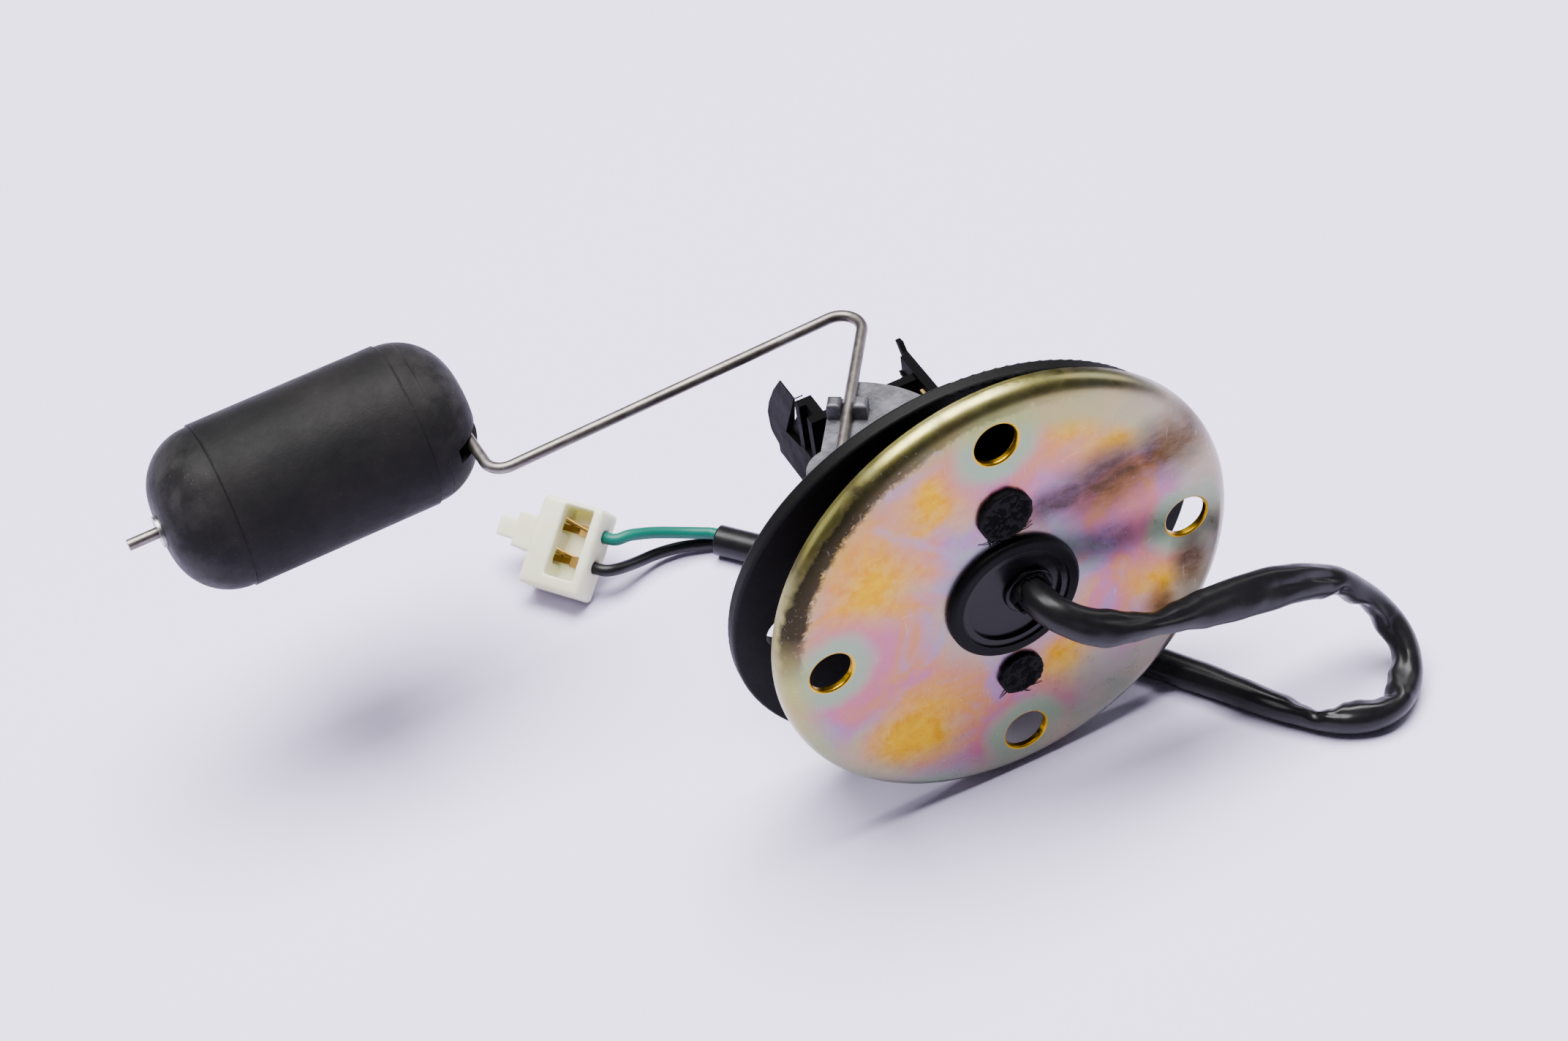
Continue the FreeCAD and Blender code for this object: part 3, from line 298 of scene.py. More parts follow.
def plating_dirt_and_reflection(shader, flat, radius):
    """Where a dark reflection is painted beside the rim at the upper left, as a band that breaks into crumbs
    of dirt on its inner side.
    """
    band = shader.times(shader.span(radius, 31.0, 32.4), shader.span(radius, 34.9, 34.3))
    across = shader.axis(0, flat)
    left_side = shader.span(across, 16.0, 0.0)
    upper = shader.span(shader.axis(2, flat), 0.0, 9.0)
    edge = shader.span(radius, 31.2, 33.4, 0.0, 0.36)
    crumbs = shader.span(shader.math("ADD", shader.noise(1100.0, 5.0, 0.7), edge), 0.52, 0.66)
    return shader.times(band, left_side, upper, crumbs, shader.span(across, -22.0, -2.0, 0.95, 0.45))


def plating_scratches(shader):
    """Where hair scratches lie, in two crossing directions."""
    lines = shader.noise(2400.0, 2.0, 0.5, where=shader.stretch((1.0, 1.0, 0.08), (0.0, 0.9, 0.0)))
    crossing = shader.noise(2800.0, 2.0, 0.5, where=shader.stretch((0.08, 1.0, 1.0), (0.0, 0.4, 0.0)))
    return shader.math("MAXIMUM", shader.span(lines, 0.68, 0.72), shader.span(crossing, 0.69, 0.73))


def plating_crease(shader, near):
    """A faint line from the rim to the grommet, at the upper left."""
    line = shader.vector("SUBTRACT", near, (-0.0135, 0.0, 0.0170))
    line = shader.stretch((1000.0, 1000.0, 1000.0), (0.0, math.radians(-45.0), 0.0), line)
    beside = shader.math("ABSOLUTE", shader.axis(2, line))
    along = shader.math("ABSOLUTE", shader.axis(0, line))
    return shader.times(shader.span(beside, 0.0, 1.1, 1.0, 0.0), shader.span(along, 9.0, 7.0))


def zinc_plating():
    """Yellow passivated zinc: metal under a thin film of changing colour, with painted dark reflections as
    brown smears and as a band beside the rim, dirt crumbs and scratches.
    """
    shader = Shader("zinc_plating")
    near = shader.wander(260.0, 0.0022)
    flat = shader.vector("MULTIPLY", near, (1000.0, 0.0, 1000.0))
    radius = shader.vector("LENGTH", flat)
    broad = shader.noise(62.0, 3.0, 0.55, 0.8)
    fine = shader.noise(420.0, 5.0, 0.7)
    film = plating_clouds(shader, broad, fine)
    film = plating_rings(shader, film, near, flat, radius)
    # Painted dark reflection: dull brown smears on the right side
    reflection_smear = plating_reflection_smear(shader, near)
    reflection_film = shader.mix(shader.span(broad, 0.42, 0.60), (0.052, 0.036, 0.030), (0.105, 0.062, 0.030))
    film = shader.mix(reflection_smear, film, reflection_film)
    # Painted dark reflection beside the rim at the upper left, with dirt crumbs at its inner edge
    dirt_and_reflection = plating_dirt_and_reflection(shader, flat, radius)
    film = shader.mix(dirt_and_reflection, film, (0.026, 0.021, 0.015))
    marks = shader.times(shader.span(shader.noise(2600.0, 3.0, 0.6), 0.66, 0.72),
                         shader.span(shader.noise(55.0, 2.0), 0.50, 0.62))
    film = shader.mix(shader.times(marks, 0.6), film, (0.75, 0.72, 0.66))
    scratches = plating_scratches(shader)
    film = shader.mix(shader.times(scratches, 0.08), film, (0.80, 0.78, 0.74))
    film = shader.mix(shader.times(plating_crease(shader, near), 0.45), film, (0.27, 0.24, 0.33))
    film = shader.new("ShaderNodeHueSaturation", Saturation=1.16, Value=0.88, Color=film).outputs[0]
    dull = shader.times(shader.math("MAXIMUM", reflection_smear, dirt_and_reflection), 0.22)
    rough = shader.math("ADD", shader.span(fine, 0.3, 0.7, 0.25, 0.36), dull)
    dents = shader.bump(shader.noise(70.0, 2.0), 0.10, 0.0008)
    normal = shader.bump(scratches, 0.04, 0.0001, shader.bump(fine, 0.05, 0.0002, dents))
    return shader.finish(Base_Color=film, Metallic=1.0, Roughness=rough, Normal=normal)


# Rubber and plastic

def black_rubber(name, base, rough, dust, grain=2600.0, depth=0.18, gloss=0.22):
    """Black rubber with a fine grain and pale dust specks."""
    shader = Shader(name)
    cloud = shader.noise(70.0, 5.0, 0.6)
    body = shader.mix(shader.span(cloud, 0.3, 0.75), (base * 0.7, base * 0.7, base * 0.74),
                      (base * 1.5, base * 1.46, base * 1.46))
    colour = shader.mix(shader.times(shader.placed(SPECKS), dust), body, (0.32, 0.31, 0.30))
    return shader.finish(
        Base_Color=colour, Roughness=shader.span(cloud, 0.25, 0.75, rough - 0.05, rough + 0.09),
        Normal=shader.placed(GRAIN, Grain_Scale=grain, Grain_Strength=depth, Swell_Strength=0.08),
        Specular_IOR_Level=gloss)


def grommet_skin():
    """The grommet's rubber: a glossy middle, with a duller collar round it."""
    shader = Shader("grommet_rubber")
    flat = shader.vector("MULTIPLY", shader.wander(300.0, 0.0003), (1000.0, 0.0, 1000.0))
    collar = shader.span(shader.vector("LENGTH", flat), 7.9, 8.4)
    cloud = shader.span(shader.noise(70.0, 5.0, 0.6), 0.3, 0.75)
    colour = shader.mix(cloud, (0.0022, 0.0022, 0.0024), (0.0044, 0.0043, 0.0045))
    specks = shader.times(shader.placed(SPECKS, Low=0.54), 0.3)
    return shader.finish(
        Base_Color=shader.mix(specks, colour, (0.32, 0.31, 0.30)),
        Roughness=shader.span(collar, 0.0, 1.0, 0.24, 0.46),
        Normal=shader.placed(GRAIN, Grain_Scale=900.0, Grain_Strength=0.08, Swell_Strength=0.08),
        Specular_IOR_Level=shader.span(collar, 0.0, 1.0, 0.13, 0.055))


def float_skin():
    """The float's closed cell skin: dull black, mottled, dusty at its ends, with the mould's lines."""
    shader = Shader("float_skin")
    # The middle of the float and the way that its axis runs
    middle = (-0.0764, 0.0662, 0.012)
    turn = math.radians(182.1)
    way = (-math.cos(turn) * 1000, -math.sin(turn) * 1000, 0.0)
    far = shader.vector("DOT_PRODUCT", shader.vector("SUBTRACT", shader.wander(200.0, 0.0007), middle), way)
    seams = []
    # The mould lines: how far from the middle, and how wide, in millimetres
    for line, wide in ((14.3, 0.22), (16.6, 0.16), (-14.3, 0.20)):
        away = shader.math("ABSOLUTE", shader.math("SUBTRACT", far, line))
        seams.append(shader.span(away, 0.0, wide, 1.0, 0.0))
    seam = shader.times(shader.most(seams), shader.span(shader.noise(130.0, 4.0), 0.35, 0.55, 0.35, 1.0))
    cloud = shader.span(shader.noise(85.0, 6.0, 0.68), 0.32, 0.70)
    body = shader.mix(cloud, (0.0085, 0.0085, 0.0090), (0.0165, 0.0155, 0.0155))
    ends = shader.span(shader.math("ABSOLUTE", far), 13.0, 21.0)
    specks = shader.placed(SPECKS, Spacing=1500.0, Size=0.10, Cloud_Scale=170.0, Cloud_Detail=4.0, Low=0.50,
                           High=0.62, Least=0.04)
    dust = shader.times(specks, shader.span(ends, 0.0, 1.0, 0.25, 0.8))
    haze = shader.times(ends, shader.span(shader.noise(240.0, 5.0), 0.42, 0.62, 0.0, 0.05))
    pocks = shader.bump(shader.noise(520.0, 5.0, 0.72), 0.22, 0.00035)
    grain = shader.bump(shader.noise(2600.0, 3.0), 0.20, 0.0001, pocks)
    return shader.finish(
        Base_Color=shader.mix(shader.math("ADD", dust, haze), body, (0.30, 0.29, 0.29)),
        Roughness=shader.span(shader.noise(330.0, 6.0, 0.7), 0.3, 0.7, 0.42, 0.58),
        Normal=shader.bump(seam, 0.5, 0.0003, grain), Specular_IOR_Level=0.05)


def moulded_plastic(name, base, rough, gloss=0.5):
    """Smooth moulded plastic with slight swells and a fine grain."""
    shader = Shader(name)
    cloud = shader.span(shader.noise(110.0, 4.0), 0.3, 0.7)
    return shader.finish(
        Base_Color=shader.mix(cloud, scaled(base, 0.82), scaled(base, 1.18)),
        Roughness=shader.span(shader.noise(320.0, 5.0, 0.65), 0.3, 0.7, rough - 0.07, rough + 0.08),
        Normal=shader.placed(GRAIN, Grain_Scale=1800.0, Swell_Scale=150.0, Swell_Detail=1.0,
                             Swell_Strength=0.10, Swell_Distance=0.0005),
        Specular_IOR_Level=gloss)


def glossy_vinyl():
    """The cable's sleeve: smooth black vinyl, glossy, with long soft dents."""
    shader = Shader("glossy_vinyl")
    cloud = shader.span(shader.noise(90.0, 3.0), 0.3, 0.7)
    dents = shader.noise(120.0, 2.0, 0.5, 0.4)
    fine = shader.noise(700.0, 3.0)
    return shader.finish(
        Base_Color=shader.mix(cloud, (0.005, 0.005, 0.006), (0.009, 0.009, 0.010)),
        Roughness=shader.span(fine, 0.3, 0.7, 0.27, 0.38),
        Normal=shader.bump(fine, 0.03, 0.0001, shader.bump(dents, 0.05, 0.0006)), Specular_IOR_Level=0.22)


def lead_insulation(name, base):
    """The soft insulation of a lead."""
    shader = Shader(name)
    cloud = shader.noise(220.0, 4.0)
    return shader.finish(
        Base_Color=shader.mix(shader.span(cloud, 0.3, 0.7), scaled(base, 0.8), base),
        Roughness=shader.span(cloud, 0.3, 0.7, 0.32, 0.44),
        Normal=shader.placed(GRAIN, Grain_Scale=900.0, Grain_Strength=0.08), Specular_IOR_Level=0.28)


def white_nylon():
    """The connector: milky nylon that lets some light through, slightly yellowed in places."""
    shader = Shader("white_nylon")
    cloud = shader.noise(260.0, 4.0)
    return shader.finish(
        Base_Color=shader.mix(shader.span(cloud, 0.35, 0.75), (0.78, 0.79, 0.61), (0.72, 0.71, 0.48)),
        Roughness=shader.span(cloud, 0.3, 0.7, 0.30, 0.42), Normal=shader.placed(GRAIN, Grain_Scale=1500.0),
        Subsurface_Weight=0.6, Subsurface_Radius=(0.0030, 0.0027, 0.0018), Subsurface_Scale=1.0)


def printed_board():
    """The brown board that the wiper runs on."""
    shader = Shader("printed_board")
    cloud = shader.span(shader.noise(400.0, 4.0), 0.3, 0.7)
    return shader.finish(Base_Color=shader.mix(cloud, (0.13, 0.07, 0.03), (0.20, 0.12, 0.05)), Roughness=0.45,
                         Normal=shader.placed(GRAIN, Grain_Scale=2500.0, Grain_Detail=2.0))


# Metals

def drawn_wire():
    """Bare steel wire with fine drawing lines and dull patches."""
    shader = Shader("drawn_wire")
    colour = shader.ramp(shader.noise(160.0, 5.0, 0.7), [
        (0.3, (0.115, 0.100, 0.090)), (0.5, (0.185, 0.168, 0.155)), (0.72, (0.27, 0.255, 0.24))])
    return shader.finish(
        Base_Color=colour, Metallic=1.0,
        Roughness=shader.span(shader.noise(700.0, 4.0, 0.7), 0.3, 0.7, 0.36, 0.50),
        Normal=shader.placed(GRAIN, Grain_Scale=1500.0, Grain_Detail=4.0, Grain_Roughness=0.7))


def die_cast():
    """Grey die cast zinc, dull and slightly pitted."""
    shader = Shader("die_cast")
    cloud = shader.noise(240.0, 6.0, 0.7)
    colour = shader.ramp(cloud, [
        (0.3, (0.045, 0.045, 0.051)), (0.5, (0.085, 0.085, 0.095)), (0.72, (0.16, 0.16, 0.178))])
    pits = shader.span(shader.cells(1400.0), 0.0, 0.25)
    skin = shader.bump(shader.noise(900.0, 4.0, 0.7), 0.35, 0.0002)
    return shader.finish(Base_Color=colour, Metallic=0.75, Roughness=shader.span(cloud, 0.3, 0.7, 0.42, 0.58),
                         Normal=shader.bump(pits, 0.2, 0.0001, skin))


def bright_metal(name, base, rough):
    """Thin rolled or pressed metal, slightly tarnished."""
    shader = Shader(name)
    cloud = shader.noise(300.0, 4.0, 0.6)
    return shader.finish(
        Base_Color=shader.mix(shader.span(cloud, 0.3, 0.7), scaled(base, 0.75), base), Metallic=1.0,
        Roughness=shader.span(cloud, 0.3, 0.7, rough, rough + 0.15),
        Normal=shader.placed(GRAIN, Grain_Strength=0.12))


def finish_nodes():
    """Gives each CAD node its material. The terminals' brass is given back for their tongues."""
    green = lead_insulation("green_insulation", (0.002, 0.125, 0.090))
    black = lead_insulation("black_insulation", (0.006, 0.006, 0.007))
    brass = bright_metal("brass", (0.66, 0.47, 0.20), 0.26)
    terminal = bright_metal("terminal_brass", (0.46, 0.27, 0.075), 0.30)
    steel = bright_metal("pressed_steel", (0.45, 0.44, 0.42), 0.30)
    chosen = {
        "flange_plate": zinc_plating(),
        "flange_gasket": black_rubber("gasket_rubber", 0.004, 0.52, 0.2, gloss=0.09),
        "cable_grommet": grommet_skin(),
        "sensor_frame": moulded_plastic("black_acetal", (0.0042, 0.0042, 0.0045), 0.50, 0.010),
        "resistor_card": printed_board(),
        "resistor_track": moulded_plastic("carbon_ink", (0.012, 0.012, 0.013), 0.5),
        "return_track": bright_metal("silver_ink", (0.6, 0.6, 0.58), 0.35),
        "signal_tab": brass,
        "ground_tab": brass,
        "inner_green_lead": green,
        "inner_black_lead": black,
        "green_lead": green,
        "black_lead": black,
        "float_arm": drawn_wire(),
        "rotor": die_cast(),
        "wiper_spring": brass,
        "pivot_clip": steel,
        "foam_float": float_skin(),
        "float_push_nut": steel,
        "green_terminal": terminal,
        "black_terminal": terminal,
    }
    for name, material in chosen.items():
        data = NODES[name].data
        data.materials.clear()
        data.materials.append(material)
    return terminal


# Mesh helpers

def new_piece(name, points, edges, faces, material):
    """An object of the sender's body, from points in millimetres."""
    mesh = bpy.data.meshes.new(name)
    mesh.from_pydata([Vector(point) / 1000 for point in points], edges, faces)
    mesh.validate()
    mesh.materials.append(material)
    piece = bpy.data.objects.new(name, mesh)
    bpy.context.scene.collection.objects.link(piece)
    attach(piece, "sender")
    return piece


def smoothed(piece):
    """The piece with smooth shading."""
    for polygon in piece.data.polygons:
        polygon.use_smooth = True
    return piece


def ring_faces(rings, sides, closed=False):
    """The faces between rings of points that follow each other."""
    faces = []
    for ring in range(rings if closed else rings - 1):
        first = ring * sides
        second = (ring + 1) % rings * sides
        for side in range(sides):
            following = (side + 1) % sides
            faces.append((first + side, first + following, second + following, second + side))
    return faces


def round_noise(turn, far, depth):
    """Noise at a turn on a circle of the given radius."""
    return noise.noise(Vector((math.cos(turn) * far, math.sin(turn) * far, depth)))


# Connector

def softened_connector(material):
    """The connector's shell with the rounded edges that the mould gave it."""
    shell = bpy.data.objects.new("soft_connector", NODES["connector_shell"].data.copy())
    bpy.context.scene.collection.objects.link(shell)
    shell.data.materials.clear()
    shell.data.materials.append(material)
    remesh = shell.modifiers.new("remesh", "REMESH")
    remesh.mode = "VOXEL"
    remesh.voxel_size = 0.00019
    remesh.use_smooth_shade = True
    smooth = shell.modifiers.new("smooth", "SMOOTH")
    smooth.factor = 0.5
    smooth.iterations = 16
    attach(shell, "sender")
    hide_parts("connector_shell")
    return shell


def contact_strip(name, tip, foot, material):
    """A terminal's thin springy tongue, from its free end to its foot, in millimetres."""
    half_width = 0.14
    half_thickness = 0.07
    tip = Vector(tip)
    foot = Vector(foot)
    along = (foot - tip).normalized()
    side = along.cross(Vector((0.0, 0.0, 1.0))).normalized() * half_width
    thick = side.cross(along).normalized() * half_thickness
    corners = []
    for middle in (tip, foot):
        for left, low in ((-1, -1), (1, -1), (1, 1), (-1, 1)):
            corners.append(middle + side * left + thick * low)
    faces = [(3, 2, 1, 0), (4, 5, 6, 7), (0, 1, 5, 4), (1, 2, 6, 5), (2, 3, 7, 6), (3, 0, 4, 7)]
    return new_piece(name, corners, [], faces, material)


# Cable sleeve

SLEEVE_ROUTE = [
    (2.2, 0.2, 0.3), (2.2, -5.4, 0.3), (6.4, -8.6, -2.8), (12.2, -9.5, -5.5), (19.2, -9.6, -7.7),
    (28.6, -9.4, -9.1), (38.6, -8.2, -12.1), (47.4, -6.6, -17.7), (53.3, -7.4, -24.6),
    (55.8, -11.6, -29.8), (53.2, -17.4, -32.5), (47.4, -20.8, -32.5), (41.2, -18.8, -32.5),
    (35.2, -11.4, -32.5), (29.6, -1.8, -32.5), (21.0, 10.6, -32.5), (9.6, 27.2, -32.5),
    (-3.2, 44.4, -32.5), (-13.4, 57.6, -32.5), (-19.2, 64.8, -32.5),
]
SLEEVE_RADIUS = 2.45
SLEEVE_SIDES = 56
# Half the sleeve's thickness across its flat side: its least, squared, and its most
LEAST_DEPTH_SQUARED = 2.6
MOST_DEPTH = 2.75
# The way that the sleeve's flattened side looks
FACING = Vector((-0.241, -0.688, 0.685))
# Along the sleeve: the half width outside the loop and inside it
SLEEVE_WIDTHS = [
    (0, 2.45, 2.45), (5, 2.45, 2.45), (8, 2.6, 2.4), (12, 2.6, 2.6), (14, 2.7, 2.7), (18, 2.2, 2.1),
    (22, 1.7, 1.7), (26, 2.4, 2.0), (30, 2.8, 2.7), (36, 3.0, 3.1), (41, 3.0, 3.2), (46, 2.8, 2.9),
    (52, 2.5, 2.6), (55, 2.5, 1.7), (57, 2.4, 1.5), (60, 2.3, 1.9), (62.5, 2.3, 1.2), (65, 2.3, 1.5),
    (68, 2.3, 2.3), (72, 2.3, 1.9), (74, 2.3, 2.0), (77, 2.3, 2.7), (80, 2.3, 2.4), (82, 2.3, 1.7),
    (84, 2.3, 1.9), (88, 2.4, 2.5), (90, 2.4, 2.2), (92, 2.4, 1.1), (94, 2.4, 0.4), (96, 2.4, 0.8),
    (99, 2.5, 1.5), (106, 2.6, 1.9), (113, 2.6, 2.2), (120, 2.5, 2.4), (250, 2.45, 2.45),
]
# Dents of the sleeve: along it, round it from its outer side, half length, half angle, depth
SLEEVE_DENTS = [
    (38.0, 112, 1.5, 20, -0.30), (44.0, 92, 4.2, 20, 0.75), (40.0, 48, 6.0, 14, -0.22),
    (50.5, 74, 3.0, 15, 0.80), (49.0, 48, 3.5, 10, -0.20), (55.5, 118, 1.3, 26, 0.70),
    (58.5, 140, 1.2, 20, -0.30), (61.5, 150, 1.0, 18, 0.55), (64.0, 98, 2.6, 14, -0.35),
    (66.0, 128, 2.4, 18, 0.55), (70.5, 152, 1.6, 22, -0.35), (74.0, 118, 4.0, 20, 0.35),
    (78.5, 150, 2.0, 20, -0.25), (82.0, 160, 0.9, 30, 0.60), (86.5, 128, 3.2, 16, -0.30),
    (90.5, 108, 1.8, 16, 0.30), (93.8, 106, 1.0, 34, 1.00), (96.6, 118, 1.6, 18, -0.25),
    (99.5, 92, 3.6, 14, 0.30), (16.0, 60, 5.0, 16, 0.35), (24.0, 84, 5.0, 14, 0.40),
    (31.0, 70, 5.0, 14, 0.25), (10.0, 100, 3.0, 18, 0.20), (118.0, 75, 14.0, 14, 0.14),
]


def curve_points(route):
    """The points of a smooth line that has the route's points as its control points."""
    curve = bpy.data.curves.new("route", "CURVE")
    curve.dimensions = "3D"
    spline = curve.splines.new("NURBS")
    spline.points.add(len(route) - 1)
    for point, place in zip(spline.points, route):
        point.co = (*place, 1.0)
    spline.order_u = 3
    spline.use_endpoint_u = True
    spline.resolution_u = 24
    thing = bpy.data.objects.new("route", curve)
    mesh = bpy.data.meshes.new_from_object(thing)
    points = [vertex.co.copy() for vertex in mesh.vertices]
    bpy.data.objects.remove(thing)
    bpy.data.curves.remove(curve)
    bpy.data.meshes.remove(mesh)
    return points


def even_steps(points, step):
    """Points a fixed step apart along the line, each with its distance from the start."""
    places = [(0.0, points[0])]
    walked = 0.0
    for first, second in zip(points, points[1:]):
        length = (second - first).length
        while length > 0 and places[-1][0] + step <= walked + length:
            far = places[-1][0] + step
            places.append((far, first.lerp(second, (far - walked) / length)))
        walked += length
    if walked - places[-1][0] > step * 0.2:
        places.append((walked, points[-1]))
    else:
        places[-1] = (walked, points[-1])
    return places


def eased(stations, far):
    """The widths at a distance, eased between the stations."""
    for (start, *before), (end, *after) in zip(stations, stations[1:]):
        if far <= end:
            share = (far - start) / (end - start)
            share = share * share * (3 - 2 * share)
            return [low + (high - low) * share for low, high in zip(before, after)]
    return list(stations[-1][1:])


def dent_depth(far, angle):
    """How deep the sleeve is dented at a distance along it and an angle round it."""
    depth = 0.0
    for middle, turn, half_long, half_turn, deep in SLEEVE_DENTS:
        along = (far - middle) / half_long
        round_it = ((angle - turn + 180) % 360 - 180) / half_turn
        if abs(along) < 3 and abs(round_it) < 3:
            depth += deep * math.exp(-along * along - round_it * round_it)
    return depth


def sleeve_ripple(far, turn):
    """The sleeve's slight unevenness: none at the grommet, little on the straight run."""
    ripple = noise.noise(Vector((far * 0.16, math.cos(turn) * 0.9, math.sin(turn) * 0.9))) * 0.08
    ripple *= min(far / 6, 1.0)
    return ripple * 0.3 if far > 100 else ripple


def sleeve_ring(far, middle, along):
    """The points round the sleeve at one place: flattened, but about as long round as a round sleeve."""
    front = (FACING - along * FACING.dot(along)).normalized()
    outer = front.cross(along)
    outer_half, inner_half = eased(SLEEVE_WIDTHS, far)
    spread = (outer_half + inner_half) / 2
    deep = math.sqrt(max(2 * SLEEVE_RADIUS ** 2 - spread * spread, LEAST_DEPTH_SQUARED))
    deep = min(deep, MOST_DEPTH)
    ring = []
    for side in range(SLEEVE_SIDES):
        turn = 2 * math.pi * side / SLEEVE_SIDES
        wide = outer_half if math.cos(turn) > 0 else inner_half
        shrink = 1 - (dent_depth(far, math.degrees(turn)) - sleeve_ripple(far, turn)) / SLEEVE_RADIUS
        offset = outer * (math.cos(turn) * wide) + front * (math.sin(turn) * deep)
        ring.append(middle + offset * shrink)
    return ring


def creased_sleeve(material):
    """The soft sleeve: flattened and pinched where it turns, with a cut mouth round the two leads."""
    places = even_steps(curve_points(SLEEVE_ROUTE), 0.3)
    points = []
    for index, (far, middle) in enumerate(places):
        before = places[max(index - 1, 0)][1]
        after = places[min(index + 1, len(places) - 1)][1]
        points += sleeve_ring(far, middle, (after - before).normalized())
    end_middle = places[-1][1]
    last_ring = points[-SLEEVE_SIDES:]
    mouth_deep = (places[-4][1] - end_middle).normalized() * 1.2
    for share, inward in ((0.93, 0.0), (0.80, 0.00004), (0.78, 1.0), (0.0, 1.0)):
        points += [end_middle + (rim - end_middle) * share + mouth_deep * inward for rim in last_ring]
    faces = ring_faces(len(places) + 4, SLEEVE_SIDES)
    faces += [((side + 1) % SLEEVE_SIDES, side, len(points)) for side in range(SLEEVE_SIDES)]
    points.append(places[0][1])
    sleeve = smoothed(new_piece("sleeve", points, [], faces, material))
    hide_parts("cable_sleeve")
    return sleeve, [tuple(place / 1000) for _, place in places[::8]] + [tuple(end_middle / 1000)]


def torn_mouth(material):
    """The ragged end of the sleeve's outer skin, round the sleeve where it leaves the grommet."""
    sides = 120
    inner_radius = 2.3
    # Where the sleeve leaves the grommet
    exit_x = 2.2
    exit_z = 0.3
    points = []
    for side in range(sides):
        turn = 2 * math.pi * side / sides
        edge = -2.2 - round_noise(turn, 1.7, 7.0) * 1.5 - round_noise(turn, 9.0, 2.0) * 0.45
        flare = 0.25 * math.sin(turn * 5) * math.cos(turn * 3)
        profile = ((-0.3, 3.25), (-0.9, 3.0 + flare), (-1.3, 2.85 + flare), (edge, 2.85 + flare), (edge, 2.5),
                   (-1.2, inner_radius), (-0.3, inner_radius))
        points += [(exit_x + far * math.cos(turn), high, exit_z + far * math.sin(turn))
                   for high, far in profile]
    faces = ring_faces(sides, len(profile), closed=True)
    smoothed(new_piece("torn_mouth", points, [], faces, material))


# Melted stud heads

def thread_sweep(material):
    """Geometry nodes that sweep a small circle along each line, as wide as the line's taper says."""
    tree = bpy.data.node_groups.new("torn_threads", "GeometryNodeTree")
    tree.interface.new_socket("Lines", in_out="INPUT", socket_type="NodeSocketGeometry")
    tree.interface.new_socket("Threads", in_out="OUTPUT", socket_type="NodeSocketGeometry")
    entry = tree.nodes.new("NodeGroupInput")
    curve = tree.nodes.new("GeometryNodeMeshToCurve")
    circle = tree.nodes.new("GeometryNodeCurvePrimitiveCircle")
    circle.inputs["Resolution"].default_value = 8
    circle.inputs["Radius"].default_value = 0.00009
    taper = tree.nodes.new("GeometryNodeInputNamedAttribute")
    taper.data_type = "FLOAT"
    taper.inputs["Name"].default_value = "taper"
    sweep = tree.nodes.new("GeometryNodeCurveToMesh")
    sweep.inputs["Fill Caps"].default_value = True
    paint = tree.nodes.new("GeometryNodeSetMaterial")
    paint.inputs["Material"].default_value = material
    leave = tree.nodes.new("NodeGroupOutput")
    for source, target in ((entry.outputs["Lines"], curve.inputs["Mesh"]),
                           (curve.outputs["Curve"], sweep.inputs["Curve"]),
                           (circle.outputs["Curve"], sweep.inputs["Profile Curve"]),
                           (taper.outputs["Attribute"], sweep.inputs["Scale"]),
                           (sweep.outputs["Mesh"], paint.inputs["Geometry"]),
                           (paint.outputs["Geometry"], leave.inputs["Threads"])):
        tree.links.new(source, target)
    return tree


def torn_threads(name, middle, radius, chance, strands, material, sweep):
    """Thin threads of plastic that hang from a melted head onto the plate."""
    steps = 5
    points = []
    edges = []
    tapers = []
    for _ in range(strands):
        turn = math.radians(chance.uniform(225, 300))
        drift = chance.uniform(-0.5, 0.5)
        reach = chance.uniform(0.8, 2.0)
        for step in range(steps + 1):
            share = step / steps
            far = radius * 0.97 + reach * share
            angle = turn + drift * share * share
            if step:
                edges.append((len(points) - 1, len(points)))
            points.append((middle[0] + far * math.cos(angle), -(0.32 - 0.24 * share),
                           middle[1] + far * math.sin(angle)))
            tapers.append(1.6 - 1.2 * share)
    threads = new_piece(name, points, edges, [], material)
    threads.data.attributes.new("taper", "FLOAT", "POINT").data.foreach_set("value", tapers)
    threads.modifiers.new("torn_threads", "NODES").node_group = sweep


def melted_head(name, middle, radius, seed, strands, material, sweep):
    """The staked end of a stud: a rough melted disc with a ragged edge and thin torn threads."""
    sides = 96
    steps = 14
    points = []
    for step in range(steps + 1):
        share = 1 - step / steps
        for side in range(sides):
            turn = 2 * math.pi * side / sides
            ragged = round_noise(turn, 2.2, seed) + 0.6 * round_noise(turn, 7.0, seed + 4.0)
            far = (radius + 0.12 + 0.22 * ragged) * min(share * 1.12, 1.0)
            high = 0.90 + 0.15 * round_noise(turn, far * 1.1, seed * 1.1)
            high += 0.13 * round_noise(turn, far * 3.4, (seed + 9.0) * 3.4)
            high *= 1 - 0.35 * max(0.0, share - 0.86) / 0.14
            if step == 0:
                high = 0.02
            points.append((middle[0] + far * math.cos(turn), -high, middle[1] + far * math.sin(turn)))
    smoothed(new_piece(name, points, [], ring_faces(steps + 1, sides), material))
    torn_threads(name + "_threads", middle, radius, random.Random(seed), strands, material, sweep)


# Stage

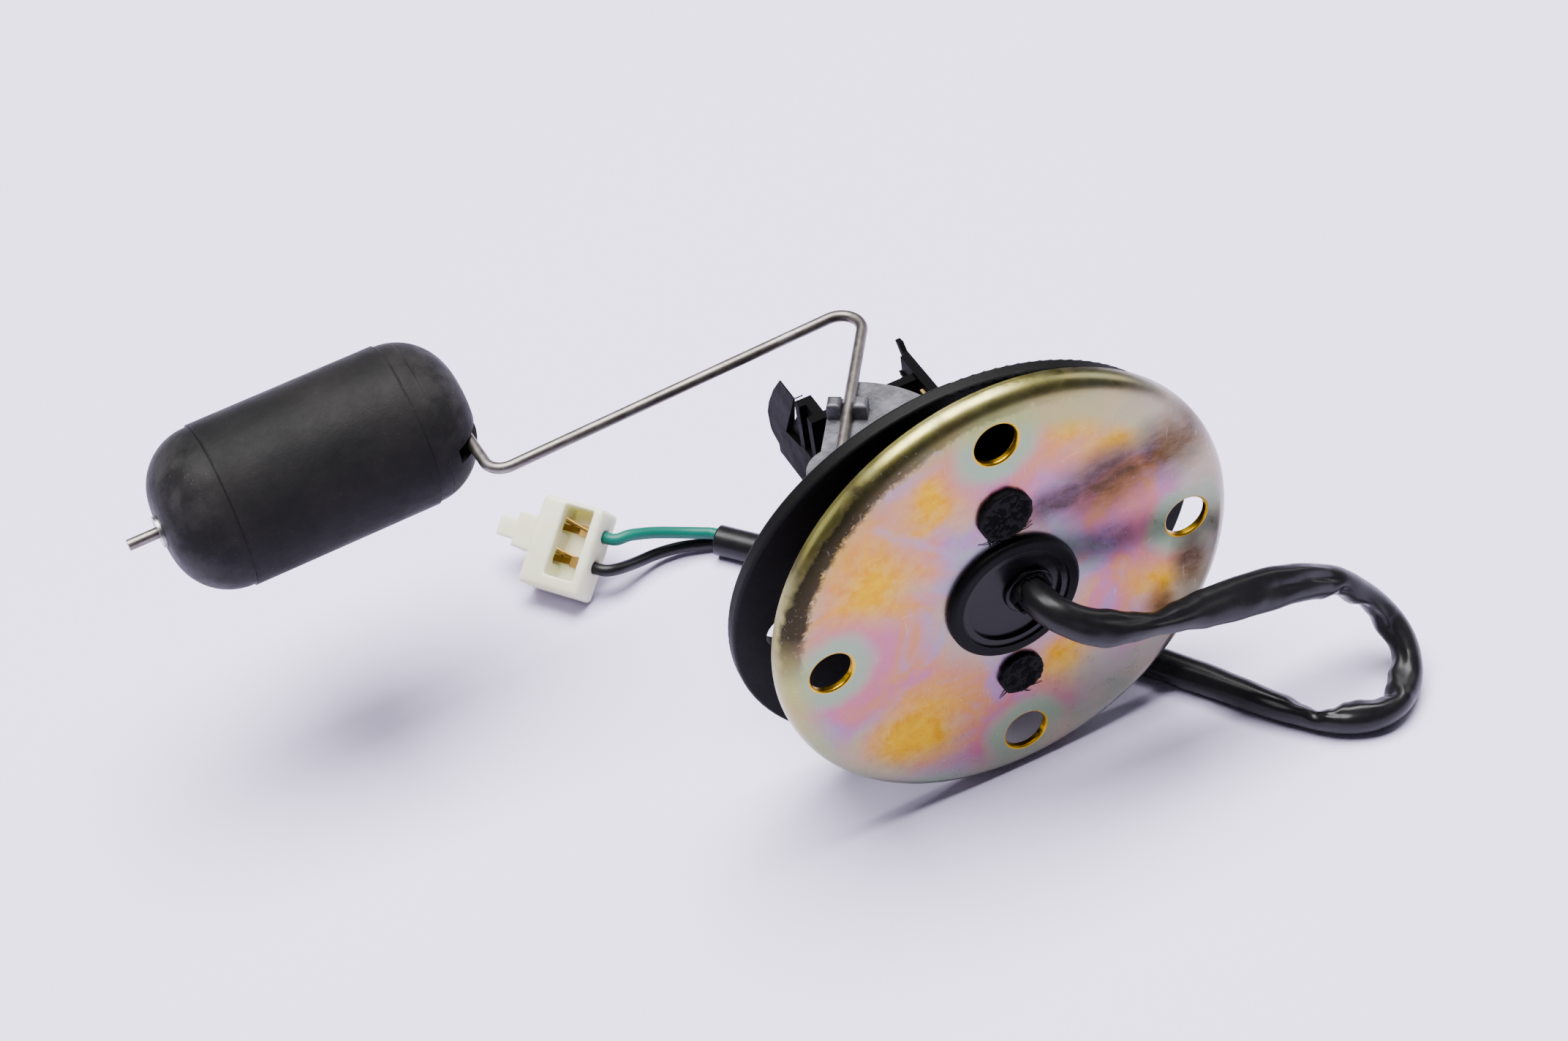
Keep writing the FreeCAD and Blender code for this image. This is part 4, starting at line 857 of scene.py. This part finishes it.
def photo_camera():
    """The camera of the photograph, solved from the flange's ellipse and holes."""
    across = Vector((0.8923085, -0.4344652, -0.12257865))
    up = Vector((0.38176706, 0.58135343, 0.71852773))
    back = Vector((-0.24091378, -0.68794489, 0.68461111))
    photo_width = 2144.0
    focal_pixels = 4310.0
    data = bpy.data.cameras.new("photo_camera")
    data.sensor_width = 36.0
    data.lens = focal_pixels / photo_width * data.sensor_width
    data.clip_start = 0.01
    camera = bpy.data.objects.new("photo_camera", data)
    turn = Matrix((across, up, back)).transposed().to_4x4()
    camera.matrix_world = Matrix.Translation((-0.127945, -0.277399, 0.306365)) @ turn
    bpy.context.scene.collection.objects.link(camera)
    bpy.context.scene.camera = camera


def softbox(name, place, target, size, power, colour):
    """A rectangular light that looks at its target."""
    data = bpy.data.lights.new(name, "AREA")
    data.shape = "RECTANGLE"
    data.size, data.size_y = size
    data.energy = power
    data.color = colour
    lamp = bpy.data.objects.new(name, data)
    lamp.location = place
    lamp.rotation_euler = (Vector(target) - Vector(place)).to_track_quat("-Z", "Y").to_euler()
    bpy.context.scene.collection.objects.link(lamp)


def pale_table():
    """The white table below and behind the object."""
    shader = Shader("pale_table")
    cloud = shader.span(shader.noise(3.0, 3.0), 0.3, 0.7)
    material = shader.finish(
        Base_Color=shader.mix(cloud, (0.76, 0.705, 1.0), (0.79, 0.735, 1.0)), Roughness=0.62,
        Normal=shader.bump(shader.noise(400.0, 3.0), 0.04, 0.0002))
    reach = 3.0
    mesh = bpy.data.meshes.new("table")
    mesh.from_pydata([(x * reach, y * reach, TABLE) for x, y in ((-1, -1), (1, -1), (1, 1), (-1, 1))], [],
                     [(0, 1, 2, 3)])
    mesh.materials.append(material)
    table = bpy.data.objects.new("table", mesh)
    bpy.context.scene.collection.objects.link(table)


def studio():
    """A soft light above, weak ones at the sides and a faint glow all round."""
    world = bpy.data.worlds.new("studio")
    world.use_nodes = True
    background = world.node_tree.nodes["Background"]
    background.inputs[0].default_value = (0.93, 0.93, 1.0, 1.0)
    background.inputs[1].default_value = 0.07
    bpy.context.scene.world = world
    softbox("overhead_box", (0.0, 0.20, 1.10), (0, 0.0, 0), (1.1, 0.75), 57.5, (1.0, 0.985, 0.995))
    softbox("left_box", (-0.85, 0.45, 0.40), (0, 0.02, 0), (0.5, 0.5), 1.5, (0.98, 0.98, 1.0))
    softbox("right_box", (0.80, 0.10, 0.40), (0, 0, 0), (0.35, 0.5), 1.5, (1.0, 0.99, 0.97))


photo_camera()
pale_table()
studio()
terminal_brass = finish_nodes()

sleeve, sleeve_path = creased_sleeve(glossy_vinyl())
connector = softened_connector(white_nylon())
green_tongue = contact_strip("green_contact_strip", (-39.97, 74.77, -24.6), (-37.5, 70.9, -26.1),
                             terminal_brass)
black_tongue = contact_strip("black_contact_strip", (-43.22, 72.38, -27.5), (-40.7, 69.5, -29.0),
                             terminal_brass)

melted = black_rubber("melted_plastic", 0.003, 0.56, 1.0, 900.0, 1.0, 0.07)
torn_mouth(melted)
sweep = thread_sweep(melted)
melted_head("upper_melted_head", (0.0, STUD_REACH), 3.9, 3, 26, melted, sweep)
melted_head("lower_melted_head", (0.0, -STUD_REACH), 3.3, 5, 4, melted, sweep)
